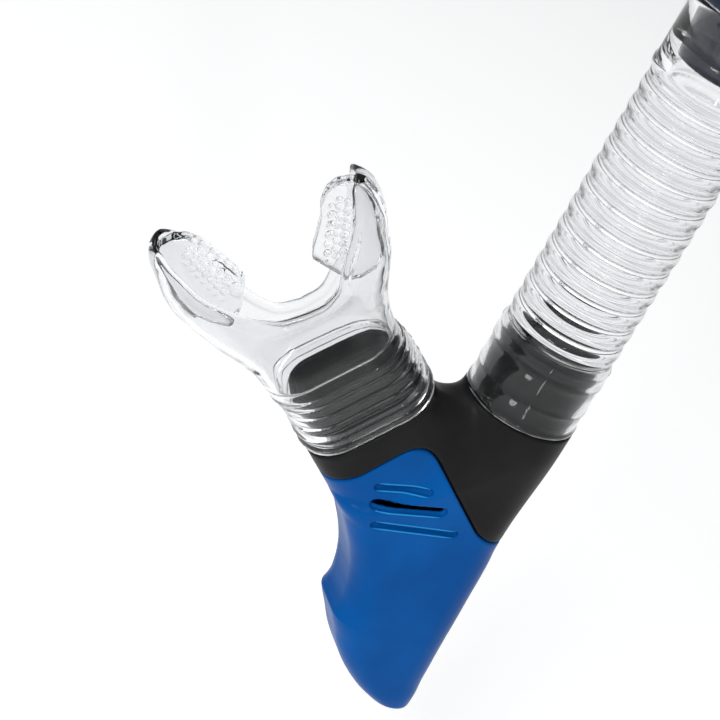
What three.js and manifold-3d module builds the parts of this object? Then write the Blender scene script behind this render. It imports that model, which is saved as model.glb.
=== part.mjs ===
// A diving snorkel: clear silicone mouthpiece, black Y-shaped purge housing with a blue cover,
// clear corrugated flex hose, dark barrel with a mask-strap keeper, and a float-valve dry top.
// Millimetres, +Z up. Heights are measured up from the level 100 mm below the hose's lower end,
// and the whole group is then lowered so that the origin is on the barrel's axis at the keeper.
import * as THREE from 'three';
import { mergeVertices } from 'three/addons/utils/BufferGeometryUtils.js';
import Module from 'manifold-3d';

const wasm = await Module();
wasm.setup();

// ---- driving dimensions -------------------------------------------------------------------
const GAP = 0.3;                 // clearance between neighbouring pieces
const HOSE_BOTTOM = 100;         // lower end of the hose, on the housing's shoulder
const CUFF_LENGTH = 21;          // plain cuff at each end of the hose
const RING_PITCH = 6.05;         // spacing of the hose's corrugations
const RING_COUNT = 13;
const HOSE_RADIUS = 16.2;        // outside of the cuffs
const RING_RADIUS = 15.8;        // outside of the corrugated stretch
const HOSE_BORE = 13.5;
const HOSE_TOP = HOSE_BOTTOM + 2 * CUFF_LENGTH + RING_COUNT * RING_PITCH;
const SPIGOT_RADIUS = HOSE_BORE - GAP;
const AIRWAY_RADIUS = 11;
const LIMB_LEAN = 48.55;         // mouthpiece limb, degrees from vertical towards -X
const LIMB_BASE = [-40.9, 87.7]; // X and height of the centre of the mouthpiece's lower end
const LIMB_WIDTH = 18.7;         // half the limb's oval section, in the limb's own frame
const LIMB_DEPTH = 11.6;
const SEAM_DROP = 10;            // cover's edge below the mouthpiece, along the limb
const SEAM_SIDE = 10.3;          // cover's edge to the side of the limb's centre line
const COVER_WALL = 1.9;
const HOUSING_WALL = 2.4;
const NECK_X = -7;               // purge outlet inside the cover
const NECK_RADIUS = 10;
const NECK_BORE = 8.4;
const NECK_BOTTOM = 47;
const BARREL_RADIUS = 13.5;
const BARREL_STRAIGHT_TOP = 300; // the barrel bends towards -X above this height
const BARREL_BEND = 12;          // degrees
const BARREL_BEND_RADIUS = 380;
const BARREL_END = 8;            // straight stretch above the bend
const KEEPER_HEIGHT = 262;       // middle of the mask-strap keeper
const KEEPER_BORE = 13.8;
const KEEPER_RADIUS = 17;
const KEEPER_LENGTH = 18;
const FLAP_OPENING = 14;         // degrees that the float lever stands open at rest
const PIVOT = [12.8, 37.2];      // lever pivot in the dry top's own frame
const ROUND = 28;                // sides of a round piece
const ARC_STEPS = 6;             // steps in a quarter of a rounded section

// ---- colours ------------------------------------------------------------------------------
const finish = (color, roughness, opacity = 1) => new THREE.MeshStandardMaterial({
  color, roughness, metalness: 0, opacity, transparent: opacity < 1,
});
const black = () => finish(0x1b1c1e, 0.45);
const navy = () => finish(0x16233a, 0.3);
const blue = () => finish(0x06539e, 0.3);
const clear = () => finish(0xdde1e2, 0.15, 0.45);
const steel = () => new THREE.MeshStandardMaterial({ color: 0xb9bcbe, roughness: 0.3, metalness: 1 });

// ---- making solids ------------------------------------------------------------------------
const radians = THREE.MathUtils.degToRad;

// Welds a geometry's corners, drops its empty triangles and turns its faces outward.
function weld(geometry) {
  geometry.deleteAttribute('normal');
  geometry.deleteAttribute('uv');
  const merged = mergeVertices(geometry, 1e-4);
  const corners = merged.index.array;
  const at = (i) => new THREE.Vector3().fromBufferAttribute(merged.attributes.position, i);
  const kept = [];
  let volume = 0;
  for (let i = 0; i < corners.length; i += 3) {
    const [a, b, c] = corners.slice(i, i + 3);
    if (a === b || b === c || c === a) continue;
    kept.push(a, b, c);
    volume += at(a).dot(at(b).cross(at(c)));
  }
  if (volume < 0) kept.reverse();
  merged.setIndex(kept);
  return merged;
}

function solid(geometry) {
  const welded = weld(geometry);
  return new wasm.Manifold(new wasm.Mesh({
    numProp: 3,
    vertProperties: new Float32Array(welded.attributes.position.array),
    triVerts: new Uint32Array(welded.index.array),
  }));
}

const join = (...solids) => solids.reduce((whole, next) => whole.add(next));
const cut = (whole, ...tools) => tools.reduce((left, tool) => left.subtract(tool), whole);

function piece(name, shape, material) {
  const mesh = shape.getMesh();
  const geometry = new THREE.BufferGeometry();
  geometry.setAttribute('position', new THREE.BufferAttribute(mesh.vertProperties, mesh.numProp));
  geometry.setIndex(new THREE.BufferAttribute(mesh.triVerts, 1));
  const named = new THREE.Mesh(geometry, material);
  named.name = name;
  return named;
}

// A closed skin over a stack of rings that all have the same number of points.
// A looped stack joins its last ring to its first, as a hollow tube does.
function skin(rings, looped = false) {
  const count = rings[0].length;
  const points = rings.flat();
  const index = [];
  const bands = looped ? rings.length : rings.length - 1;
  for (let band = 0; band < bands; band++) {
    const low = band * count;
    const high = ((band + 1) % rings.length) * count;
    for (let i = 0; i < count; i++) {
      const next = (i + 1) % count;
      index.push(low + i, low + next, high + next, low + i, high + next, high + i);
    }
  }
  if (!looped) {
    const last = (rings.length - 1) * count;
    for (let i = 1; i < count - 1; i++) {
      index.push(0, i + 1, i, last, last + i, last + i + 1);
    }
  }
  const geometry = new THREE.BufferGeometry().setFromPoints(points);
  geometry.setIndex(index);
  return geometry;
}

// One level section with straight sides and round corners, which may differ left and right.
function section(left, right, depth, leftCorner, height, rightCorner = leftCorner) {
  const points = [];
  const onRight = { x: right - rightCorner, corner: rightCorner };
  const onLeft = { x: left + leftCorner, corner: leftCorner };
  [onRight, onLeft, onLeft, onRight].forEach(({ x, corner }, quarter) => {
    const y = (quarter < 2 ? 1 : -1) * (depth - corner);
    for (let step = 0; step <= ARC_STEPS; step++) {
      const angle = Math.PI / 2 * (quarter + step / ARC_STEPS);
      points.push(new THREE.Vector3(x + corner * Math.cos(angle), y + corner * Math.sin(angle), height));
    }
  });
  return points;
}

// A round piece turned about Z from a closed outline of [radius, height] points.
function turned(outline, sides = ROUND) {
  const profile = [...outline, outline[0]].map(([radius, height]) => new THREE.Vector2(radius, height));
  return new THREE.LatheGeometry(profile, sides).rotateX(Math.PI / 2);
}

function rod(radius, bottom, top, sides = ROUND) {
  return new THREE.CylinderGeometry(radius, radius, top - bottom, sides)
    .rotateX(Math.PI / 2)
    .translate(0, 0, (top + bottom) / 2);
}

function crossRod(radius, length, x, height, sides = 16) {
  return new THREE.CylinderGeometry(radius, radius, length, sides).translate(x, 0, height);
}

function box(x0, x1, y0, y1, z0, z1) {
  return new THREE.BoxGeometry(x1 - x0, y1 - y0, z1 - z0)
    .translate((x0 + x1) / 2, (y0 + y1) / 2, (z0 + z1) / 2);
}

// A shape drawn in X and height, made into a slab of the given thickness about y = 0.
function slab(shape, thickness, curveSegments = 10) {
  return new THREE.ExtrudeGeometry(shape, { depth: thickness, bevelEnabled: false, curveSegments })
    .rotateX(Math.PI / 2)
    .translate(0, thickness / 2, 0);
}

function outline(points) {
  return new THREE.Shape(points.map(([x, height]) => new THREE.Vector2(x, height)));
}

// ---- the limb's own frame: X across the mouthpiece, Y its thickness, Z towards the mouth ---
const limbFrame = new THREE.Matrix4()
  .makeRotationY(-radians(LIMB_LEAN))
  .setPosition(LIMB_BASE[0], 0, LIMB_BASE[1]);
const onLimb = (geometry) => geometry.applyMatrix4(limbFrame);
const limbPoint = (across, along) => {
  const point = new THREE.Vector3(across, 0, along).applyMatrix4(limbFrame);
  return [point.x, point.z];
};

// ---- the outer form shared by the housing and the cover ------------------------------------
// Rows of [height, left, right, half depth, left corner radius, right corner radius], from the hose
// down to the toe. The chin side, on the left, is scooped out below the limb, and the scoop ends
// in a corner above the rounded toe.
const BODY_SECTIONS = [
  [HOSE_BOTTOM, -16.2, 16.2, 16.2, 16.2, 16.2],
  [92, -16.6, 16.1, 15.9, 15.7, 15.7],
  [84, -20, 15.8, 14.9, 14.4, 14.4],
  [75, -28, 15.3, 13.7, 13, 13],
  [66, -38.5, 14.9, 13, 12, 12.2],
  [63.5, -40.5, 14.9, 12.8, 10, 12],
  [58, -35.6, 15, 12.6, 8, 11.8],
  [52, -31.2, 15.6, 12.5, 7.5, 11.6],
  [46, -27.3, 15.9, 12.4, 7.5, 11.4],
  [40, -24.3, 16.1, 12.3, 7.5, 11.3],
  [34, -22.4, 16.4, 12.2, 7.5, 11.2],
  [29, -21.6, 16.6, 12.1, 7.5, 11.1],
  [25, -22.2, 16.7, 12, 7.5, 11],
  [19, -18.6, 17, 11.8, 7.5, 10.8],
  [13, -14.8, 17.4, 11.5, 7.5, 10.5],
  [7, -9.8, 17.7, 11, 7.5, 10],
  [1, -3, 17.8, 10.2, 7.5, 9.2],
  [-3, 3, 17.4, 9, 6.4, 7.6],
  [-5, 7, 16.2, 7, 4.4, 4.6],
];

// The two limbs are joined by a web with a round saddle between them.
function web(inset) {
  const shape = new THREE.Shape();
  shape.moveTo(-27.2, 100 - inset);
  shape.quadraticCurveTo(-19.5, 91.5 - inset, -14, 98 - inset);
  shape.lineTo(-8, 90);
  shape.lineTo(-20, 76);
  return slab(shape, 2 * (LIMB_DEPTH - 3.4 - inset), 6);
}

function bodyForm(inset) {
  const body = BODY_SECTIONS.map(([height, left, right, depth, leftCorner, rightCorner]) => section(
    left + inset, right - inset, depth - inset, leftCorner - inset, height, rightCorner - inset,
  ));
  const across = LIMB_WIDTH - inset;
  const depth = LIMB_DEPTH - inset;
  const limb = [-30, -8, -inset].map((along) => section(-across, across, depth, depth - 0.6, along));
  return join(solid(skin(body)), solid(onLimb(skin(limb))), solid(web(inset)));
}

// Everything below the seam: square to the limb on one side, along it on the other.
function belowSeam(lowered) {
  const [farX, farHeight] = limbPoint(-40, -SEAM_DROP);
  const [startX, startHeight] = limbPoint(SEAM_SIDE - 8, -SEAM_DROP + 1.2);
  const [peakX, peakHeight] = limbPoint(SEAM_SIDE, -SEAM_DROP + 1.5);
  const [endX, endHeight] = limbPoint(SEAM_SIDE, -SEAM_DROP - 8);
  const [lowX, lowHeight] = limbPoint(SEAM_SIDE, -SEAM_DROP - 36);
  const shape = new THREE.Shape();
  shape.moveTo(farX, farHeight);
  shape.lineTo(startX, startHeight);
  shape.quadraticCurveTo(peakX, peakHeight, endX, endHeight);
  shape.lineTo(lowX, lowHeight);
  shape.quadraticCurveTo(lowX + 6, lowHeight - 4.5, 20, 60.5);
  shape.lineTo(60, 60.5);
  shape.lineTo(60, -60);
  shape.lineTo(farX, -60);
  return slab(shape, 90, 12).translate(0, 0, -lowered);
}

// ---- purge housing --------------------------------------------------------------------------
const MOUTH_SPIGOT = [15.7, 8.7, 18.5];   // half width, half depth, length
const HOSE_SPIGOT_LENGTH = 22;

function mouthSpigot(inset, bottom, top) {
  const width = MOUTH_SPIGOT[0] - inset;
  const depth = MOUTH_SPIGOT[1] - inset;
  return onLimb(skin([bottom, top].map((along) => section(-width, width, depth, depth - 0.5, along))));
}

function purgeHousing() {
  const outer = bodyForm(0);
  const shell = cut(outer, solid(belowSeam(0)));
  const lipBand = cut(solid(belowSeam(-0.5)), solid(belowSeam(4)));
  const lip = bodyForm(COVER_WALL + GAP).intersect(lipBand);
  const hoseSpigot = turned([
    [0, 90],
    [SPIGOT_RADIUS, 90],
    [SPIGOT_RADIUS, HOSE_BOTTOM + HOSE_SPIGOT_LENGTH - 1],
    [SPIGOT_RADIUS - 1, HOSE_BOTTOM + HOSE_SPIGOT_LENGTH],
    [0, HOSE_BOTTOM + HOSE_SPIGOT_LENGTH],
  ]);
  const neck = rod(NECK_RADIUS, NECK_BOTTOM, 72).translate(NECK_X, 0, 0);
  const block = join(
    shell,
    lip,
    solid(hoseSpigot),
    solid(mouthSpigot(0, -4, MOUTH_SPIGOT[2])),
    solid(neck),
  );
  const cavity = cut(bodyForm(HOUSING_WALL), solid(belowSeam(-2.6)), solid(box(-60, 60, -40, 40, 98, 160)));
  const airway = join(
    cavity,
    solid(rod(AIRWAY_RADIUS, 80, 140)),
    solid(mouthSpigot(2, -12, 60)),
    solid(rod(NECK_BORE, 40, 80).translate(NECK_X, 0, 0)),
  );
  const [recessX, recessHeight] = limbPoint(SEAM_SIDE + 1.9, -SEAM_DROP - 11.5);
  const recess = crossRod(1.3, 4, recessX, recessHeight);
  return cut(
    block,
    airway,
    solid(recess.clone().translate(0, -14, 0)),
    solid(recess.translate(0, 14, 0)),
  );
}

// ---- purge cover ------------------------------------------------------------------------------
// Rows of two ends as [across, along] in the limb's frame, distance of the face from the middle
// plane there, and depth. The middle one goes through the wall.
const GROOVES = [
  [[-6.7, -15.2], [4.3, -24.5], 13.5, 1],
  [[-9.4, -20.4], [4.8, -32.8], 13, 6],
  [[-12.4, -25.8], [4.9, -42.9], 12.8, 1],
];
const GROOVE_WIDTH = 2.4;

function groove([start, end, faceDistance, depth], side) {
  const [x0, z0] = limbPoint(...start);
  const [x1, z1] = limbPoint(...end);
  const length = Math.hypot(x1 - x0, z1 - z0);
  const bar = new THREE.CapsuleGeometry(GROOVE_WIDTH / 2, length - GROOVE_WIDTH, 3, 8);
  bar.scale(1, 1, depth);
  bar.rotateZ(-Math.PI / 2);
  bar.rotateX(Math.PI / 2);
  bar.rotateY(-Math.atan2(z1 - z0, x1 - x0));
  return bar.translate((x0 + x1) / 2, side * faceDistance, (z0 + z1) / 2);
}

function purgeCover() {
  const shell = bodyForm(0).intersect(solid(belowSeam(GAP)));
  const hollow = bodyForm(COVER_WALL);
  const window = box(8, 60, -5.5, 5.5, 24, 48);
  const drain = box(6, 11, -3, 3, -30, 6);
  const grooves = GROOVES.flatMap((row) => [solid(groove(row, -1)), solid(groove(row, 1))]);
  return cut(shell, hollow, solid(window), solid(drain), ...grooves);
}

// ---- purge valve ------------------------------------------------------------------------------
const SEAT_TOP = NECK_BOTTOM - GAP;
const SEAT_THICKNESS = 2.2;
const STEM_RADIUS = 1;

function valveSeat() {
  const plate = solid(rod(NECK_RADIUS, SEAT_TOP - SEAT_THICKNESS, SEAT_TOP));
  const opening = solid(rod(NECK_BORE - 1, 0, 100));
  const spokes = join(
    solid(box(-NECK_RADIUS, NECK_RADIUS, -0.8, 0.8, 0, 100)),
    solid(box(-0.8, 0.8, -NECK_RADIUS, NECK_RADIUS, 0, 100)),
    solid(rod(2.6, 0, 100, 16)),
  );
  const windows = cut(opening, spokes);
  const locatingRing = turned([
    [NECK_BORE - 1, SEAT_TOP - 1],
    [NECK_BORE - GAP, SEAT_TOP - 1],
    [NECK_BORE - GAP, SEAT_TOP + 2],
    [NECK_BORE - 1, SEAT_TOP + 2],
  ]);
  return join(cut(plate, windows, solid(rod(STEM_RADIUS + GAP, 0, 100, 12))), solid(locatingRing));
}

function diaphragm() {
  const under = SEAT_TOP - SEAT_THICKNESS - GAP;
  return solid(turned([
    [0, under],
    [8.6, under],
    [8.9, under - 1.1],
    [0, under - 1.4],
  ], ROUND)).add(solid(turned([
    [0, under - 0.5],
    [STEM_RADIUS, under - 0.5],
    [STEM_RADIUS, SEAT_TOP + 2],
    [1.8, SEAT_TOP + 2.3],
    [1, SEAT_TOP + 4.5],
    [0, SEAT_TOP + 4.5],
  ], 12)));
}

// ---- mouthpiece, in the limb's frame ------------------------------------------------------------
// Rows of [along, half width, half depth] for the neck and the flare behind the lip guard.
const NECK_SECTIONS = [
  [GAP, 18.7, 11.5],
  [19, 18.2, 11.3],
  [26, 18.6, 11],
  [32, 19.8, 10.4],
  [40, 22.2, 9.2],
  [47, 24.4, 7.8],
  [56, 26.8, 6],
  [66, 27.9, 4.2],
  [74.5, 27.2, 2.2],
];
const GUARD_THICKNESS = 2;
// Rows of [across, along, half height] down the middle of one wing of the lip guard.
const GUARD_STATIONS = [
  [0, 39, 5.6],
  [6, 40, 6],
  [11, 42.6, 7.6],
  [15.5, 46.8, 10.2],
  [19, 52, 12.2],
  [21.8, 58, 13.2],
  [23.8, 64.5, 13],
  [25.1, 70, 11.2],
  [25.9, 74, 7.8],
  [26.3, 76.4, 3],
];

// Both wings in one row, from tip to tip.
function guardStations() {
  const mirrored = GUARD_STATIONS.slice(1).map(([across, ...rest]) => [-across, ...rest]);
  return [...mirrored.reverse(), ...GUARD_STATIONS];
}

// The guard is a curved band whose height changes along it.
function guard() {
  const stations = guardStations();
  const rings = stations.map(([across, along, half], i) => {
    const before = stations[Math.max(i - 1, 0)];
    const after = stations[Math.min(i + 1, stations.length - 1)];
    const run = new THREE.Vector3(after[0] - before[0], 0, after[1] - before[1]).normalize();
    const out = new THREE.Vector3(-run.z, 0, run.x).multiplyScalar(GUARD_THICKNESS / 2);
    const at = (side, y) => new THREE.Vector3(across, y, along).addScaledVector(out, side);
    const soft = half - Math.min(0.8, half / 2);
    return [at(-1, -soft), at(0, -half), at(1, -soft), at(1, soft), at(0, half), at(-1, soft)];
  });
  return solid(skin(rings));
}

function mouthpiece() {
  const flare = solid(skin(NECK_SECTIONS.map(
    ([along, width, depth]) => section(-width, width, depth, depth - 0.4, along),
  )));
  const middle = guardStations().map(([across, along]) => new THREE.Vector2(across, along));
  const mouthSide = new THREE.Shape([new THREE.Vector2(-26, 120), ...middle, new THREE.Vector2(26, 120)]);
  const tab = (side) => slab(outline([
    [14.6, 46], [8.8, 57], [11.2, 61.5], [13.6, 66], [14.4, 70.5], [16.4, 73.6], [19.5, 75], [25, 73],
    [23.6, 64.5], [19, 51.5],
  ].map(([across, along]) => [side * across, along])), 3.6);
  const bore = skin([
    [-1, 16, 9],
    [MOUTH_SPIGOT[2] + 1, 16, 9],
    [MOUTH_SPIGOT[2] + 5, 15, 8],
    [60, 14.5, 4.5],
  ].map(([along, width, depth]) => section(-width, width, depth, depth - 0.3, along)));
  const body = cut(
    join(cut(flare, solid(slab(mouthSide, 60))), guard()),
    solid(bore),
  );
  const whole = join(body, solid(tab(-1)), solid(tab(1)));
  return whole.transform(limbFrame.elements);
}

// ---- flex hose --------------------------------------------------------------------------------
function flexHose() {
  const low = HOSE_BOTTOM + GAP;
  const firstRing = HOSE_BOTTOM + CUFF_LENGTH;
  const outside = [[HOSE_RADIUS, low], [HOSE_RADIUS, firstRing - 1]];
  for (let ring = 0; ring < RING_COUNT; ring++) {
    const height = firstRing + ring * RING_PITCH;
    outside.push([RING_RADIUS - 0.6, height]);
    outside.push([RING_RADIUS, height + RING_PITCH / 2]);
  }
  const lastRing = firstRing + RING_COUNT * RING_PITCH;
  outside.push([RING_RADIUS - 0.6, lastRing], [HOSE_RADIUS, lastRing + 1], [HOSE_RADIUS, HOSE_TOP]);
  return solid(turned([...outside, [HOSE_BORE, HOSE_TOP], [HOSE_BORE, low]]));
}

// ---- barrel -----------------------------------------------------------------------------------
const BARREL_BOTTOM = HOSE_TOP - 16;
const bendAngle = radians(BARREL_BEND);
const bendEnd = [
  -BARREL_BEND_RADIUS * (1 - Math.cos(bendAngle)),
  BARREL_STRAIGHT_TOP + BARREL_BEND_RADIUS * Math.sin(bendAngle),
];
const barrelTop = [
  bendEnd[0] - BARREL_END * Math.sin(bendAngle),
  bendEnd[1] + BARREL_END * Math.cos(bendAngle),
];

// A level ring carried along the barrel's axis to the given bend angle.
function barrelRing(radius, x, height, angle) {
  const ring = section(-radius, radius, radius, radius, 0);
  const carry = new THREE.Matrix4().makeRotationY(-angle).setPosition(x, 0, height);
  return ring.map((point) => point.applyMatrix4(carry));
}

function barrelSkin(radius, overrun) {
  const rings = [barrelRing(radius, 0, BARREL_BOTTOM - overrun, 0)];
  const steps = 6;
  for (let step = 0; step <= steps; step++) {
    const angle = bendAngle * step / steps;
    rings.push(barrelRing(
      radius,
      -BARREL_BEND_RADIUS * (1 - Math.cos(angle)),
      BARREL_STRAIGHT_TOP + BARREL_BEND_RADIUS * Math.sin(angle),
      angle,
    ));
  }
  rings.push(barrelRing(
    radius,
    barrelTop[0] - overrun * Math.sin(bendAngle),
    barrelTop[1] + overrun * Math.cos(bendAngle),
    bendAngle,
  ));
  return skin(rings);
}

function barrel() {
  const stop = turned([
    [AIRWAY_RADIUS + 1, HOSE_TOP + GAP],
    [HOSE_RADIUS, HOSE_TOP + GAP],
    [HOSE_RADIUS, HOSE_TOP + 3],
    [BARREL_RADIUS - 0.3, HOSE_TOP + 6],
    [AIRWAY_RADIUS + 1, HOSE_TOP + 6],
  ]);
  const thinned = turned([
    [SPIGOT_RADIUS, BARREL_BOTTOM - 5],
    [BARREL_RADIUS + 5, BARREL_BOTTOM - 5],
    [BARREL_RADIUS + 5, HOSE_TOP + GAP],
    [SPIGOT_RADIUS, HOSE_TOP + GAP],
  ]);
  return cut(
    join(cut(solid(barrelSkin(BARREL_RADIUS, 0)), solid(thinned)), solid(stop)),
    solid(barrelSkin(AIRWAY_RADIUS, 4)),
  );
}

// ---- mask-strap keeper --------------------------------------------------------------------------
const KEEPER_LOW = KEEPER_HEIGHT - KEEPER_LENGTH / 2;
const KEEPER_HIGH = KEEPER_HEIGHT + KEEPER_LENGTH / 2;
const BOSS_FACE = -21.5;          // flat outer face of the keeper's boss
const PLATE_THICKNESS = 2.6;
const PLATE_FACE = BOSS_FACE - GAP - PLATE_THICKNESS;
const PLATE_HALF_WIDTH = 19;
const PLATE_HALF_HEIGHT = 15;
const STRAP_SLOT = [9.2, 14.2, 11.5];   // slot's inner and outer edge and half height
const RIVET_RADIUS = 3;
const HEAD_WELL = 1.4;            // the rivet's head is sunk this deep into the plate's outer face
const BUTTON = [3.6, 2.2];               // half sizes of the release button

function keeperSleeve() {
  const ring = turned([
    [KEEPER_BORE, KEEPER_LOW],
    [KEEPER_RADIUS - 0.8, KEEPER_LOW],
    [KEEPER_RADIUS, KEEPER_LOW + 0.8],
    [KEEPER_RADIUS, KEEPER_HIGH - 0.8],
    [KEEPER_RADIUS - 0.8, KEEPER_HIGH],
    [KEEPER_BORE, KEEPER_HIGH],
  ]);
  const boss = box(BOSS_FACE, -KEEPER_BORE - 0.5, -7.5, 7.5, KEEPER_LOW + 1, KEEPER_HIGH - 1);
  const rivetHole = rod(RIVET_RADIUS - 1 + GAP, 0, 30, 16)
    .rotateY(-Math.PI / 2)
    .translate(-KEEPER_BORE - 2.5, 0, KEEPER_HEIGHT);
  const buttonWell = box(-20.9, -16.1, -BUTTON[0] - GAP, BUTTON[0] + GAP, KEEPER_HIGH - 4.5, KEEPER_HIGH + 5);
  const bore = rod(KEEPER_BORE, KEEPER_LOW - 5, KEEPER_HIGH + 5);
  return cut(join(solid(ring), cut(solid(boss), solid(bore))), solid(rivetHole), solid(buttonWell));
}

function keeperButton() {
  return solid(box(-20.6, -16.4, -BUTTON[0], BUTTON[0], KEEPER_HIGH - 3, KEEPER_HIGH + 0.6));
}

// A flat plate behind the boss, with an upright slot at each end for the mask strap.
function keeperPlate() {
  const plate = section(-PLATE_HALF_HEIGHT, PLATE_HALF_HEIGHT, PLATE_HALF_WIDTH, 5, 0);
  const high = plate.map((point) => point.clone().setZ(PLATE_THICKNESS));
  const body = skin([plate, high]).rotateY(-Math.PI / 2).translate(BOSS_FACE - GAP, 0, KEEPER_HEIGHT);
  const [inner, outer, half] = STRAP_SLOT;
  const slots = [-1, 1].map((side) => solid(box(
    -40, 0, side * (side > 0 ? inner : outer), side * (side > 0 ? outer : inner),
    KEEPER_HEIGHT - half, KEEPER_HEIGHT + half,
  )));
  const hole = rod(RIVET_RADIUS - 1 + GAP, 0, 40, 16).rotateY(-Math.PI / 2).translate(0, 0, KEEPER_HEIGHT);
  const headWell = rod(RIVET_RADIUS + 1 + GAP, -PLATE_FACE - HEAD_WELL, -PLATE_FACE + 5, 16)
    .rotateY(-Math.PI / 2)
    .translate(0, 0, KEEPER_HEIGHT);
  return cut(solid(body), ...slots, solid(hole), solid(headWell));
}

function keeperRivet() {
  const inner = 17;
  const headStart = -PLATE_FACE - HEAD_WELL + GAP - inner;
  const headEnd = -PLATE_FACE - 0.2 - inner;
  const shank = turned([
    [0, 0],
    [RIVET_RADIUS - 1, 0],
    [RIVET_RADIUS - 1, headStart],
    [RIVET_RADIUS + 1, headStart],
    [RIVET_RADIUS + 1, headEnd - 0.3],
    [RIVET_RADIUS, headEnd],
    [0, headEnd],
  ], 16);
  return solid(shank.rotateY(-Math.PI / 2).translate(-inner, 0, KEEPER_HEIGHT));
}

// ---- dry top, in its own frame: Z along the barrel's upper end, base plate at zero ---------------
const TOP_LEFT = -15.5;
const TOP_RIGHT = 31;
const TOP_DEPTH = 17;
const TOP_HEIGHT = 56;
const CAP_WALL = 1.8;
const PLUG_RADIUS = AIRWAY_RADIUS - GAP;
const TUBE_RADIUS = 10.2;
const TUBE_BORE = 8.4;
const SEAT_HEIGHT = 34;
const EAR_Y = 11.3;               // outside of the two ears that hold the lever's pin

function topBase() {
  const plate = skin([
    section(TOP_LEFT, TOP_RIGHT, TOP_DEPTH, 13, GAP),
    section(TOP_LEFT, TOP_RIGHT, TOP_DEPTH, 13, 3),
  ]);
  const rim = skin([
    section(TOP_LEFT + 2.2, TOP_RIGHT - 2.2, TOP_DEPTH - 2.2, 10.8, 2.5),
    section(TOP_LEFT + 2.2, TOP_RIGHT - 2.2, TOP_DEPTH - 2.2, 10.8, 7),
  ]);
  const rimHollow = skin([
    section(TOP_LEFT + 3.8, TOP_RIGHT - 3.8, TOP_DEPTH - 3.8, 9.2, 3),
    section(TOP_LEFT + 3.8, TOP_RIGHT - 3.8, TOP_DEPTH - 3.8, 9.2, 9),
  ]);
  const plug = turned([
    [0, -13], [PLUG_RADIUS - 0.6, -13], [PLUG_RADIUS, -12],
    [PLUG_RADIUS, -8.2], [PLUG_RADIUS - 1.3, -8.2], [PLUG_RADIUS - 1.3, -6.4], [PLUG_RADIUS, -6.4],
    [PLUG_RADIUS, 1], [0, 1],
  ]);
  const tube = turned([
    [0, 1], [TUBE_RADIUS, 1], [TUBE_RADIUS, SEAT_HEIGHT - 1], [TUBE_RADIUS - 0.8, SEAT_HEIGHT], [0, SEAT_HEIGHT],
  ]);
  const [pivotX, pivotHeight] = PIVOT;
  const ears = [-1, 1].map((side) => {
    const inner = side * (EAR_Y - 2);
    const outer = side * EAR_Y;
    return solid(box(
      pivotX - 2.2, pivotX + 2.2, Math.min(inner, outer), Math.max(inner, outer), 2, pivotHeight + 2.2,
    ));
  });
  return cut(
    join(solid(plate), cut(solid(rim), solid(rimHollow)), solid(plug), solid(tube), ...ears),
    solid(rod(TUBE_BORE, -20, 60)),
    solid(crossRod(1.2 + 0.15, 60, pivotX, pivotHeight)),
  );
}

function topORing() {
  const minor = 0.65;
  const points = [];
  for (let step = 0; step < 8; step++) {
    const angle = radians(45 * step);
    points.push([PLUG_RADIUS - 0.5 + minor * Math.cos(angle), -7.3 + minor * Math.sin(angle)]);
  }
  return solid(turned(points));
}

function leverPin() {
  return solid(crossRod(1.2, 2 * EAR_Y + 1.2, PIVOT[0], PIVOT[1]));
}

// The lever carries the flap over the seat on one side and the float on the other. It is drawn
// with its pivot at the origin and the flap lying flat, then turned open about the pivot.
const openLever = new THREE.Matrix4()
  .makeRotationY(radians(FLAP_OPENING))
  .setPosition(PIVOT[0], 0, PIVOT[1]);
const FLAP_BOTTOM = SEAT_HEIGHT + 0.25 - PIVOT[1];
const PEG_X = 19.4;               // the float is pressed onto a peg under the lever's yoke
const PEG_RADIUS = 1.6;

function floatLever() {
  const hub = crossRod(2.5, 2 * (EAR_Y - 2) - 1, 0, 0);
  const arm = box(-16, 2, -4, 4, FLAP_BOTTOM + 2.3, FLAP_BOTTOM + 4.3);
  const disc = rod(9.6, FLAP_BOTTOM + 2.3, FLAP_BOTTOM + 3.9).translate(-PIVOT[0], 0, 0);
  const post = rod(1.6, FLAP_BOTTOM + 2.3, FLAP_BOTTOM + 5.6, 12).translate(-PIVOT[0], 0, 0);
  const yoke = box(0, 13.4, -7, 7, -0.4, 1.8);
  const lever = cut(
    join(solid(hub), solid(arm), solid(disc), solid(post), solid(yoke)),
    solid(crossRod(1.2 + 0.2, 40, 0, 0)),
  ).transform(openLever.elements);
  return join(lever, solid(rod(PEG_RADIUS, 26, 36, 16).translate(PEG_X, 0, 0)));
}

function flapSeal() {
  return solid(turned([
    [0, FLAP_BOTTOM],
    [10.2, FLAP_BOTTOM],
    [10.2, FLAP_BOTTOM + 2],
    [0, FLAP_BOTTOM + 2],
  ]).translate(-PIVOT[0], 0, 0)).transform(openLever.elements);
}

// The float hangs upright beside the tube at rest, so it is drawn in place.
const FLOAT_BOX = [15.6, 23.2, 7.8, 15, 31.2];   // X from, X to, half depth, height from, height to

function floatBlock() {
  const [x0, x1, depth, low, high] = FLOAT_BOX;
  const block = skin([
    section(x0, x1, depth, 3, low),
    section(x0, x1, depth, 3, high),
  ]);
  return cut(solid(block), solid(rod(PEG_RADIUS + GAP, 25.5, 40, 16).translate(PEG_X, 0, 0)));
}

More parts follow.
